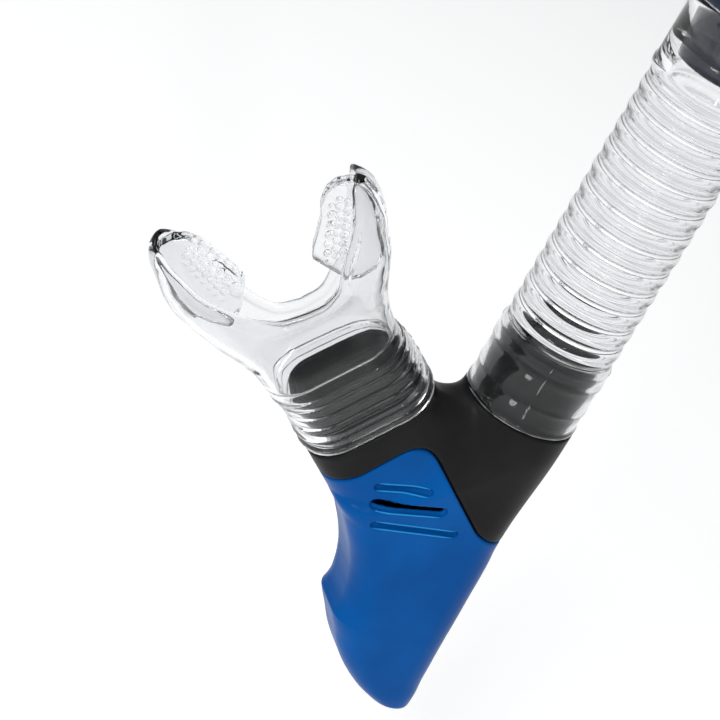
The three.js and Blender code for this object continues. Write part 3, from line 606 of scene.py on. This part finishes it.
# ---- flex hose -------------------------------------------------------------------------------
def hose_outline():
    low, first = HOSE_BOTTOM + GAP, HOSE_BOTTOM + CUFF
    last = first + RING_COUNT * RING_PITCH
    base, radius = HOSE_BOTTOM, HOSE_RADIUS
    waist, neck = radius - 0.35, radius - 0.4
    outside = [
        (radius - 0.5, low), (radius, low + 0.5), (radius, low + 1.6), (waist, low + 2.2),
        (waist, base + 7.2), (radius - 0.1, base + 7.6), (radius - 0.1, base + 8.2), (waist, base + 8.6),
        (waist, base + 15.4), (radius, base + 15.9), (radius, base + 17.2), (neck, base + 17.7),
        (neck, base + 19.6), (radius - 0.05, base + 20.2), (radius - 0.05, first + 0.2),
        (RING_NECK, first + 1.2),
    ]
    inside = []
    steps = 14
    for n in range(1, RING_COUNT * steps):
        height = first + RING_PITCH * n / steps
        phase = 2 * math.pi * n / steps
        if first + 1.5 < height < last - 1.5:
            outside.append((RING_MIDDLE + RING_SWELL * math.cos(phase), height))
        crest = 0.5 - 0.5 * math.cos(phase)
        inside.append((RING_BORE + RING_DEPTH * crest ** 1.4, height))
    outside += [
        (RING_NECK, last - 1.2), (radius, last - 0.2), (radius, last + 1.6), (neck, last + 2.2),
        (neck, HOSE_TOP - 2.6), (radius, HOSE_TOP - 2), (radius, HOSE_TOP - 0.4), (neck, HOSE_TOP),
    ]
    top = [(HOSE_BORE + 0.3, HOSE_TOP), (HOSE_BORE, HOSE_TOP - 0.4), (HOSE_BORE, last + 0.6)]
    bottom = [(HOSE_BORE, first - 0.6), (HOSE_BORE, low + 0.4), (HOSE_BORE + 0.3, low)]
    return outside + top + inside[::-1] + bottom


# ---- barrel ----------------------------------------------------------------------------------
BARREL_TOP_LENGTH = STRAIGHT_TOP + BEND_RADIUS * BEND + BARREL_END


def barrel_place(points):
    """Carries points whose height is length along the barrel onto its bent axis."""
    x, y, length = points[:, 0], points[:, 1], points[:, 2]
    angle = np.clip((length - STRAIGHT_TOP) / BEND_RADIUS, 0, BEND)
    beyond = length - STRAIGHT_TOP - BEND_RADIUS * angle
    return np.stack([
        -BEND_RADIUS * (1 - np.cos(angle)) + x * np.cos(angle) - beyond * np.sin(angle),
        y,
        STRAIGHT_TOP + BEND_RADIUS * np.sin(angle) + x * np.sin(angle) + beyond * np.cos(angle),
    ], 1)


def barrel_outline():
    spigot, tube = SPIGOT_RADIUS, BARREL_RADIUS
    outside = [(spigot - 0.6, BARREL_BOTTOM), (spigot, BARREL_BOTTOM + 0.6)]
    for ring in (3.6, 9.1):
        at = BARREL_BOTTOM + ring
        outside += [(spigot, at - 0.5), (spigot - 0.5, at - 0.3)]
        outside += [(spigot - 0.5, at + 0.3), (spigot, at + 0.5)]
    stop = HOSE_TOP + GAP
    outside += [(spigot, stop), (HOSE_RADIUS - 0.4, stop)]
    outside += [(HOSE_RADIUS, stop + 0.4), (HOSE_RADIUS, stop + 2.2)]
    outside += [(HOSE_RADIUS - 0.5, stop + 3), (tube + 0.3, stop + 5.2), (tube, stop + 6)]
    length = stop + 8
    while length < BARREL_TOP_LENGTH - 7:
        outside.append((tube, length))
        length += 4
    end = BARREL_TOP_LENGTH
    outside += [(tube, end - 5), (tube, end - 0.5), (tube - 0.5, end)]
    inside = [(AIRWAY + 0.4, end), (AIRWAY, end - 0.5)]
    length = end - 6
    while length > BARREL_BOTTOM + 3:
        inside.append((AIRWAY, length))
        length -= 4
    return outside + inside + [(AIRWAY, BARREL_BOTTOM + 0.5), (AIRWAY + 0.4, BARREL_BOTTOM)]


# ---- mask-strap keeper -----------------------------------------------------------------------
KEEPER_HALF = 9
BOSS_FACE = -21.5
PLATE_THICKNESS = 2.6
HEAD_WELL = 1.4
STRAP_SLOT = (9.2, 14.2, 11.5)


def keeper_sleeve_field(x, y, z):
    h = z - ORIGIN_HEIGHT
    radius = np.hypot(x, y)
    angle = np.arctan2(y, x)
    ring = smooth_max(radius - 17, abs(h) - KEEPER_HALF, 1.6)
    grip = (np.cos(angle * 40) * 0.28) * (abs(angle) < 2.2) * (abs(h) < 6.5)
    ring = ring + grip
    boss = round_box(x, y, h, (-17.5, 0, 0), (4, 7.5, 8), 1.2)
    body = smooth_min(ring, boss, 1.4)
    body = smooth_max(body, 13.8 - radius, 0.5)
    well = round_box(x, y, h, (-18.5, 0, 9.25), (2.4, 3.9, 4.75), 0.4)
    hole = np.maximum(np.hypot(y, h) - 2.3, x + 16.3)
    return smooth_max(smooth_max(body, -well, 0.3), -hole, 0.3)


def keeper_plate_field(x, y, z):
    h = z - ORIGIN_HEIGHT
    outline = round_rect(y, h, -19, 19, 15, 5)
    middle = BOSS_FACE - GAP - PLATE_THICKNESS / 2
    plate = smooth_max(outline, abs(x - middle) - PLATE_THICKNESS / 2, 1.0)
    inner, outer, half = STRAP_SLOT
    centre, width = (inner + outer) / 2, outer - inner
    slot = round_rect(abs(y) - centre, h, -width / 2, width / 2, half, 1.2)
    hole = np.hypot(y, h) - 2.3
    head_well = np.maximum(np.hypot(y, h) - 4.3, x - (middle - PLATE_THICKNESS / 2 + HEAD_WELL))
    hole = np.minimum(hole, head_well)
    for bar in (-1, 0, 1):
        groove = np.maximum(abs(abs(y) - 16.7) - 0.45, abs(h - bar * 5) - 1.9)
        plate = smooth_max(plate, -np.maximum(groove, x - (middle - 0.8)), 0.4)
    return smooth_max(smooth_max(plate, -slot, 0.7), -hole, 0.3)


def keeper_button_field(x, y, z):
    h = z - ORIGIN_HEIGHT - KEEPER_HALF
    body = round_box(x, y, h, (-18.5, 0, -1.2), (2.1, 3.6, 1.8), 0.5)
    for groove in (-1, 0, 1):
        line = np.hypot(x + 18.5 + groove * 1.1, h - 0.75)
        body = smooth_max(body, -(line - 0.4), 0.2)
    return body


# ---- dry top, in its own frame ---------------------------------------------------------------
TOP_LEFT, TOP_RIGHT, TOP_DEPTH, TOP_HEIGHT = -15.5, 31, 17, 56
TOP_CORNER = 12.9
CAP_WALL = 1.8
CAP_SLOT = (1.5, 26, 14)
CAP_PIN = (8, 5.2)
PEG_X = 19.4
RING_HEIGHT = -7.3
PIVOT = (12.8, 37.2)
SEAT_HEIGHT = 34
EAR_Y = 11.3
FLAP_OPENING = math.radians(14)
FLAP_BOTTOM = SEAT_HEIGHT + 0.25 - PIVOT[1]
BEND_END = (-BEND_RADIUS * (1 - math.cos(BEND)), STRAIGHT_TOP + BEND_RADIUS * math.sin(BEND))
TOP_BASE = (BEND_END[0] - BARREL_END * math.sin(BEND), BEND_END[1] + BARREL_END * math.cos(BEND))


def top_place(points):
    x, y, z = points[:, 0], points[:, 1], points[:, 2]
    return np.stack([
        TOP_BASE[0] + x * math.cos(BEND) - z * math.sin(BEND),
        y,
        TOP_BASE[1] + x * math.sin(BEND) + z * math.cos(BEND),
    ], 1)


def cap_form(x, y, z, inset):
    dome = np.clip((z - (TOP_HEIGHT - 13)) / 13, 0, 1) ** 2
    left, right = TOP_LEFT + inset + 4 * dome, TOP_RIGHT - inset - 5 * dome
    depth = TOP_DEPTH - inset - 3.4 * dome
    side = round_rect(x, y, left, right, depth, TOP_CORNER - inset)
    return smooth_max(side, z - TOP_HEIGHT + inset, 5.0)


def top_cap_field(x, y, z):
    outer = np.maximum(cap_form(x, y, z, 0), 3.3 - z)
    outer = outer + np.exp(-((z - 8.6) / 0.5) ** 2) * 0.4
    shell = smooth_max(outer, -cap_form(x, y, z, CAP_WALL), 0.5)
    half, height, reach = CAP_SLOT
    for row in range(4):
        middle = -4.5 + row * 8
        slot = round_rect(x - middle, z - height, -half, half, reach, 1.45)
        shell = smooth_max(shell, -np.maximum(slot, 9 - abs(y)), 0.6)
    for middle in (-3.5, 3.5):
        slot = round_rect(y - middle, z - height, -half, half, reach, 1.45)
        shell = smooth_max(shell, -np.maximum(slot, 6 - abs(x - 7.75)), 0.6)
    pin = np.maximum(np.hypot(x - CAP_PIN[0], z - CAP_PIN[1]) - 1.05, 12 - abs(y))
    crest = round_rect(x - 7.5, y, -11, 11, 5.5, 5.4)
    groove = np.maximum(abs(crest) - 0.45, 52 - z)
    shell = smooth_max(shell, -np.maximum(groove, TOP_HEIGHT - 0.5 - z), 0.4)
    return smooth_max(shell, -pin, 0.3)


def top_base_field(x, y, z):
    radius = np.hypot(x, y)
    plate = round_rect(x, y, TOP_LEFT, TOP_RIGHT, TOP_DEPTH, TOP_CORNER)
    plate = smooth_max(plate, abs(z - 1.65) - 1.35, 0.9)
    rim = round_rect(x, y, TOP_LEFT + 2.2, TOP_RIGHT - 2.2, TOP_DEPTH - 2.2, 10.8)
    rim = np.maximum(np.maximum(rim, -1.6 - rim), abs(z - 4.75) - 2.25)
    plug = np.maximum(smooth_max(radius - 10.7, -13 - z, 1), z - 1)
    from_ring = np.maximum(abs(z - RING_HEIGHT) - 0.7, 0)
    ring_groove = np.hypot(from_ring, np.maximum(9.7 - radius, 0)) - 0.2
    plug = smooth_max(plug, -ring_groove, 0.2)
    tube = smooth_max(np.maximum(radius - 10.2, 1 - z), z - SEAT_HEIGHT, 1.4)
    body = smooth_min(np.minimum(plate, rim), tube, 1.2)
    body = np.minimum(body, plug)
    for side in (-1, 1):
        centre = (PIVOT[0], side * (EAR_Y - 1), PIVOT[1] / 2 + 2)
        ear = round_box(x, y, z, centre, (2.2, 1, PIVOT[1] / 2 + 0.2), 0.6)
        body = smooth_min(body, ear, 0.6)
    body = smooth_max(body, 8.4 - radius, 0.6)
    pins = np.hypot(x - PIVOT[0], z - PIVOT[1]) - 1.35
    cap_pins = np.hypot(x - CAP_PIN[0], z - CAP_PIN[1]) - 1.05
    return smooth_max(smooth_max(body, -pins, 0.3), -cap_pins, 0.3)


def lever_coordinates(x, z):
    """Into the lever's frame, in which its pivot is the origin and the flap lies flat."""
    dx, dz = x - PIVOT[0], z - PIVOT[1]
    c, s = math.cos(FLAP_OPENING), math.sin(FLAP_OPENING)
    return dx * c - dz * s, dx * s + dz * c


def float_lever_field(x, y, z):
    u, v = lever_coordinates(x, z)
    hub = np.maximum(np.hypot(u, v) - 2.5, abs(y) - 8.8)
    arm = round_box(u, y, v, (-7, 0, FLAP_BOTTOM + 3.3), (9, 4, 1), 0.5)
    from_disc = np.hypot(u + PIVOT[0], y)
    disc = smooth_max(from_disc - 9.6, abs(v - FLAP_BOTTOM - 3.1) - 0.8, 0.6)
    post = np.maximum(from_disc - 1.6, abs(v - FLAP_BOTTOM - 3.95) - 1.65)
    rib = round_box(u, y, v, (-8, 0, FLAP_BOTTOM + 4.9), (7.5, 0.7, 1.2), 0.4)
    yoke = round_box(u, y, v, (6.7, 0, 0.7), (6.7, 7, 1.1), 0.5)
    peg = np.maximum(np.hypot(x - PEG_X, y) - 1.6, np.maximum(26 - z, z - 36))
    whole = smooth_min(smooth_min(hub, arm, 0.8), disc, 0.8)
    whole = smooth_min(smooth_min(smooth_min(whole, post, 0.5), rib, 0.6), yoke, 0.9)
    whole = smooth_min(whole, peg, 0.6)
    return smooth_max(whole, -(np.hypot(u, v) - 1.4), 0.3)


def float_field(x, y, z):
    side = round_rect(x, y, 15.6, 23.2, 7.8, 3)
    block = smooth_max(side, abs(z - 23.1) - 8.1, 2.0)
    hole = np.maximum(np.hypot(x - PEG_X, y) - 1.9, 25.5 - z)
    for height in (18, 28):
        block = block + np.exp(-((z - height) / 0.5) ** 2) * 0.35
    return smooth_max(block, -hole, 0.4)


# ---- materials -------------------------------------------------------------------------------
def material(name, colour, roughness, **sockets):
    made = bpy.data.materials.new(name)
    made.use_nodes = True
    shader = made.node_tree.nodes["Principled BSDF"]
    shader.inputs["Base Color"].default_value = (*colour, 1)
    shader.inputs["Roughness"].default_value = roughness
    for socket, value in sockets.items():
        shader.inputs[socket.replace("_", " ")].default_value = value
    made.diffuse_color = (*colour, 1)
    return made


def noise(made, scale, detail=2.0, stretch=(1, 1, 1)):
    """A noise texture over the piece, scale in features per metre."""
    tree = made.node_tree
    place = tree.nodes.new("ShaderNodeTexCoord")
    squeeze = tree.nodes.new("ShaderNodeMapping")
    squeeze.inputs["Scale"].default_value = stretch
    pattern = tree.nodes.new("ShaderNodeTexNoise")
    pattern.inputs["Scale"].default_value = scale
    pattern.inputs["Detail"].default_value = detail
    tree.links.new(place.outputs["Object"], squeeze.inputs["Vector"])
    tree.links.new(squeeze.outputs["Vector"], pattern.inputs["Vector"])
    return pattern.outputs["Fac"]


def bump(made, height, strength, distance):
    tree = made.node_tree
    node = tree.nodes.new("ShaderNodeBump")
    node.inputs["Strength"].default_value = strength
    node.inputs["Distance"].default_value = distance
    tree.links.new(height, node.inputs["Height"])
    shader = tree.nodes["Principled BSDF"]
    if shader.inputs["Normal"].is_linked:
        tree.links.new(shader.inputs["Normal"].links[0].from_socket, node.inputs["Normal"])
    tree.links.new(node.outputs["Normal"], shader.inputs["Normal"])


def ramp(made, factor, low, high, socket):
    """Drives a socket between two values by a factor from 0.3 to 0.7."""
    tree = made.node_tree
    node = tree.nodes.new("ShaderNodeMapRange")
    node.inputs["From Min"].default_value = 0.3
    node.inputs["From Max"].default_value = 0.7
    node.inputs["To Min"].default_value = low
    node.inputs["To Max"].default_value = high
    tree.links.new(factor, node.inputs["Value"])
    tree.links.new(node.outputs["Result"], tree.nodes["Principled BSDF"].inputs[socket])


def tint(made, factor, first, second):
    tree = made.node_tree
    node = tree.nodes.new("ShaderNodeValToRGB")
    node.color_ramp.elements[0].position = 0.35
    node.color_ramp.elements[0].color = (*first, 1)
    node.color_ramp.elements[1].position = 0.65
    node.color_ramp.elements[1].color = (*second, 1)
    tree.links.new(factor, node.inputs["Fac"])
    tree.links.new(node.outputs["Color"], tree.nodes["Principled BSDF"].inputs["Base Color"])


def clear_silicone(name, colour, roughness, ripple):
    made = material(name, colour, roughness, IOR=1.38, Transmission_Weight=1.0)
    bump(made, noise(made, 140, 2), ripple, 0.0006)
    ramp(made, noise(made, 320, 3), roughness * 0.6, roughness * 1.5, "Roughness")
    return made


def moulded_black(name, colour, roughness, grain, strength):
    made = material(name, colour, roughness, IOR=1.12)
    tint(made, noise(made, 60, 3), colour, tuple(1.35 * c for c in colour))
    ramp(made, noise(made, 220, 3), roughness * 0.9, roughness * 1.12, "Roughness")
    bump(made, noise(made, grain, 2), strength, 0.00006)
    return made


SILICONE = clear_silicone("clear_silicone", (0.885, 0.893, 0.9), 0.04, 0.04)
HOSE_SILICONE = clear_silicone("hose_silicone", (0.92, 0.928, 0.934), 0.03, 0.05)
MILKY = material(
    "milky_silicone", (0.78, 0.8, 0.81), 0.35, IOR=1.41, Transmission_Weight=0.35, Subsurface_Weight=0.3
)
bump(MILKY, noise(MILKY, 900, 2), 0.15, 0.0001)
BLACK = moulded_black("satin_black", (0.0105, 0.0105, 0.011), 0.36, 3600, 0.55)
SPIGOT = moulded_black("spigot_black", (0.005, 0.0055, 0.006), 0.4, 1400, 0.06)
FITTING = moulded_black("matt_black", (0.014, 0.014, 0.015), 0.5, 2600, 0.6)
BLUE = material("gloss_blue", (0.0005, 0.085, 0.33), 0.3, IOR=1.12)
tint(BLUE, noise(BLUE, 45, 3), (0.0003, 0.06, 0.245), (0.0005, 0.078, 0.3))
bump(BLUE, noise(BLUE, 700, 2), 0.06, 0.0001)
# A lighter blue for the fine lines along the grooves: a painted highlight on the grooves' edges, not a
# second colour of the cover.
GROOVE_HIGHLIGHT_BLUE = material("painted_highlight_blue", (0.004, 0.21, 0.52), 0.22, IOR=1.35)
bump(GROOVE_HIGHLIGHT_BLUE, noise(GROOVE_HIGHLIGHT_BLUE, 700, 2), 0.06, 0.0001)
NAVY = material("gloss_navy", (0.0075, 0.0135, 0.03), 0.16, IOR=1.3)
bump(NAVY, noise(NAVY, 90, 2), 0.08, 0.0004)
ramp(NAVY, noise(NAVY, 300, 3), 0.13, 0.22, "Roughness")
STEEL = material("steel", (0.55, 0.55, 0.54), 0.28, Metallic=1.0)
bump(STEEL, noise(STEEL, 1800, 2, (1, 0.1, 1)), 0.2, 0.00005)
SEAL = moulded_black("seal_rubber", (0.012, 0.012, 0.012), 0.6, 1500, 0.4)
FLOAT = material("float_grey", (0.16, 0.17, 0.18), 0.62)
tint(FLOAT, noise(FLOAT, 900, 4), (0.13, 0.14, 0.15), (0.2, 0.21, 0.22))
bump(FLOAT, noise(FLOAT, 2200, 3), 0.5, 0.0001)


# ---- the pieces ------------------------------------------------------------------------------
def add(shown, body, slot, *nodes):
    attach(shown, body)
    if nodes:
        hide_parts(*nodes)
    return shown


def spigot_paint(middles):
    _, a = limb_coordinates(middles[:, 0], middles[:, 2])
    mouth = (a > 0.2) & (middles[:, 0] < -20)
    hose = middles[:, 2] > HOSE_BOTTOM + 0.2
    return np.where(mouth | hose, 1, 0)


add(sculpt("housing_shell", housing_field, (-72, -17, 44), (18, 17, 124), 0.5, [BLACK, SPIGOT],
           paint=spigot_paint),
    "lower", "housing_black", "purge_housing")
add(sculpt("blue_cover", cover_field, (-46, -15, -7), (20, 15, 86), 0.34, [BLUE]),
    "lower", "cover_blue", "purge_cover")
# Raised lines along the grooves in a lighter blue: painted highlights on the grooves' edges.
add(mesh_object("painted_groove_highlights", *groove_highlight_edges(), [GROOVE_HIGHLIGHT_BLUE]), "lower", "cover_blue")
add(sculpt("bite_mouthpiece", mouthpiece_field, (-32, -15, 0), (32, 15, 79), 0.42, [SILICONE],
           place=mouth_place),
    "lower", "silicone_clear", "mouthpiece")

hose = turn("corrugated_hose", hose_outline(), [HOSE_SILICONE], sides=128)
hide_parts("flex_hose")
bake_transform(hose)

add(turn("barrel_tube", barrel_outline(), [NAVY], sides=128, place=barrel_place),
    "barrel", "barrel_navy", "barrel")

seat_top = NECK_BOTTOM - GAP
under = seat_top - 2.2 - GAP


def valve_seat_field(x, y, z):
    u = x - NECK_X
    radius = np.hypot(u, y)
    plate = smooth_max(radius - 10, abs(z - seat_top + 1.1) - 1.1, 0.5)
    spokes = np.minimum(np.minimum(abs(u), abs(y)) - 0.8, radius - 2.6)
    windows = smooth_max(radius - 7.4, -spokes, 0.8)
    ring = np.maximum(abs(radius - 7.75) - 0.35, abs(z - seat_top - 0.5) - 1.5)
    body = np.minimum(smooth_max(plate, -windows, 0.4), ring)
    return np.maximum(body, 1.3 - radius)


add(sculpt("spoked_valve_seat", valve_seat_field, (-18, -11, 43), (4, 11, 50), 0.3, [FITTING]),
    "lower", "fitting_black", "valve_seat")
add(turn("mushroom_valve", [
    (0.02, under - 1.4), (4, under - 1.35), (7.4, under - 1.2), (8.7, under - 1.0), (8.95, under - 0.7),
    (8.9, under - 0.35), (8.6, under), (5, under - 0.3), (1.6, under - 0.2), (1.0, under + 0.4),
    (1.0, seat_top + 1.7), (1.5, seat_top + 2.0), (1.8, seat_top + 2.4), (1.5, seat_top + 3.2),
    (0.9, seat_top + 4.3), (0.5, seat_top + 4.5), (0.02, seat_top + 4.5),
], [MILKY], sides=64, axis=(NECK_X, 0.0)), "diaphragm", "valve_silicone", "purge_diaphragm")

add(sculpt("strap_keeper_sleeve", keeper_sleeve_field, (-22.5, -18, 252), (18, 18, 272), 0.36, [FITTING]),
    "keeper", "fitting_black", "keeper_sleeve")
add(sculpt("strap_plate_body", keeper_plate_field, (-25, -20, 246), (-21, 20, 278), 0.3, [FITTING]),
    "strap_plate", "fitting_black", "keeper_plate")
add(sculpt("release_button_cap", keeper_button_field, (-21, -4, 267), (-16, 4, 272.5), 0.2, [BLUE]),
    "release_button", "cover_blue", "keeper_button")


def keeper_place(points):
    """Turns an outline about the rivet's axis, along -X from 17 mm out."""
    return np.stack([-17 - points[:, 2], points[:, 1], ORIGIN_HEIGHT + points[:, 0]], 1)


head = -BOSS_FACE + GAP + PLATE_THICKNESS - 17
head_start = head - HEAD_WELL + GAP
add(turn("plate_rivet", [
    (0.02, 0), (1.8, 0), (2, 0.2), (2, head_start), (4, head_start), (4, head - 0.6), (3.7, head - 0.3),
    (3, head - 0.2), (1.6, head - 0.2), (1.3, head - 0.6), (0.02, head - 0.6),
], [STEEL], sides=48, place=keeper_place), "keeper", "pin_steel", "keeper_rivet")

add(sculpt("dry_top_cap", top_cap_field, (-16, -17.5, 3), (31.5, 17.5, 56.5), 0.42, [BLUE],
           place=top_place),
    "barrel", "cover_blue", "top_cap")
add(sculpt("dry_top_base", top_base_field, (-16, -17.5, -13.5), (31.5, 17.5, 40), 0.42, [FITTING],
           place=top_place),
    "barrel", "fitting_black", "top_base")
add(sculpt("float_lever_arm", float_lever_field, (-14, -10, 25), (28, 10, 47), 0.32, [FITTING],
           place=top_place),
    "float_arm", "fitting_black", "float_lever")
add(sculpt("float_block", float_field, (15, -9, 14), (24, 9, 32), 0.4, [FLOAT], place=top_place),
    "float_arm", "float_grey", "float")


def flap_place(points):
    """From the lever's frame, flap flat and pivot at the origin, to the part's scale."""
    u, y, v = points[:, 0] - PIVOT[0], points[:, 1], points[:, 2] + FLAP_BOTTOM
    c, s = math.cos(FLAP_OPENING), math.sin(FLAP_OPENING)
    return top_place(np.stack([PIVOT[0] + u * c + v * s, y, PIVOT[1] - u * s + v * c], 1))


add(turn("flap_seal_disc", [
    (0.02, 0.25), (7, 0.25), (7.6, 0), (9.9, 0), (10.2, 0.3), (10.2, 1.7), (9.9, 2), (0.02, 2),
], [MILKY], sides=64, place=flap_place), "float_arm", "valve_silicone", "flap_seal")

ring_angles = [2 * math.pi * n / 20 for n in range(20)]
add(turn("plug_o_ring", [
    (10.2 + 0.65 * math.cos(t), RING_HEIGHT + 0.65 * math.sin(t)) for t in ring_angles
], [SEAL], sides=96, place=top_place), "barrel", "seal_rubber", "top_o_ring")


def cross_place(x, z, offset=0.0):
    """Lays a turned pin across the dry top, at the given place in its own frame."""
    def place(points):
        return top_place(np.stack([x + points[:, 0], points[:, 2] + offset, z + points[:, 1]], 1))
    return place


def pin_outline(radius, half):
    return [(0.02, -half), (radius - 0.25, -half), (radius, -half + 0.25), (radius, half - 0.25),
            (radius - 0.25, half), (0.02, half)]


add(turn("lever_pivot_pin", pin_outline(1.2, EAR_Y + 0.6), [STEEL], sides=32, place=cross_place(*PIVOT)),
    "barrel", "pin_steel", "lever_pin")
for side, node in ((-1, "cap_pin_front"), (1, "cap_pin_back")):
    stud_place = cross_place(*CAP_PIN, side * 15.2)
    add(turn(node + "_stud", pin_outline(0.9, 1.8), [STEEL], sides=32, place=stud_place),
        "barrel", "pin_steel", node)

# ---- stage, light and camera -----------------------------------------------------------------
FLOOR_HEIGHT = cad_box[0][2] - 0.12
bpy.ops.mesh.primitive_plane_add(size=12, location=(0, 0, FLOOR_HEIGHT))
floor = bpy.context.object
floor.name = "studio_floor"
floor.data.materials.append(material(
    "floor_white", (0.93, 0.93, 0.93), 0.9, Emission_Color=(1, 1, 1, 1), Emission_Strength=0.32
))

scene = bpy.context.scene
scene.view_settings.view_transform = "Standard"
world = bpy.data.worlds.new("studio")
world.use_nodes = True
sky = world.node_tree
sky_place = sky.nodes.new("ShaderNodeTexCoord")
sky_parts = sky.nodes.new("ShaderNodeSeparateXYZ")
sky_fade = sky.nodes.new("ShaderNodeMapRange")
sky_fade.inputs["From Min"].default_value = 0.06
sky_fade.inputs["From Max"].default_value = 0.3
sky_fade.inputs["To Min"].default_value = 0.9
sky_fade.inputs["To Max"].default_value = 0.42
sky.links.new(sky_place.outputs["Generated"], sky_parts.inputs["Vector"])
sky.links.new(sky_parts.outputs["Z"], sky_fade.inputs["Value"])
sky.links.new(sky_fade.outputs["Result"], sky.nodes["Background"].inputs["Strength"])
sky.nodes["Background"].inputs["Color"].default_value = (0.97, 0.98, 1, 1)
scene.world = world


def area_light(name, place, aim, size, power, size_y=None):
    light = bpy.data.lights.new(name, "AREA")
    light.shape = "RECTANGLE"
    light.size = size
    light.size_y = size_y or size
    light.energy = power
    lamp = bpy.data.objects.new(name, light)
    lamp.location = place
    lamp.rotation_euler = (Vector(aim) - Vector(place)).to_track_quat("-Z", "Y").to_euler()
    scene.collection.objects.link(lamp)
    return lamp


MIDDLE = Vector((-0.03, 0, -0.17))
area_light("key", (-0.9, -0.75, 0.75), MIDDLE, 0.35, 10, 0.45)
area_light("strip", (-0.25, -0.9, 0.35), MIDDLE, 0.05, 1.6, 0.4)
area_light("top", (-0.35, 0.05, 1.3), MIDDLE, 0.6, 5)
area_light("back", (0.7, 0.9, 0.5), MIDDLE, 0.5, 0.6)

AZIMUTH, ELEVATION, ROLL = (math.radians(v) for v in (-32.39, 27.0, 29.02))
CAMERA_PLACE = Vector((-0.309791, -0.408757, 0.086586))
flat = math.cos(ELEVATION)
back = Vector((math.sin(AZIMUTH) * flat, -math.cos(AZIMUTH) * flat, math.sin(ELEVATION)))
level = Vector((math.cos(AZIMUTH), math.sin(AZIMUTH), 0))
upright = back.cross(level)
right = math.cos(ROLL) * level + math.sin(ROLL) * upright
up = math.cos(ROLL) * upright - math.sin(ROLL) * level
lens = bpy.data.cameras.new("camera")
lens.lens = 107.13
lens.sensor_width = 36
lens.clip_start = 0.01
lens.clip_end = 50
camera = bpy.data.objects.new("camera", lens)
camera.matrix_world = Matrix((
    (right.x, up.x, back.x, CAMERA_PLACE.x),
    (right.y, up.y, back.y, CAMERA_PLACE.y),
    (right.z, up.z, back.z, CAMERA_PLACE.z),
    (0, 0, 0, 1),
))
scene.collection.objects.link(camera)
scene.camera = camera
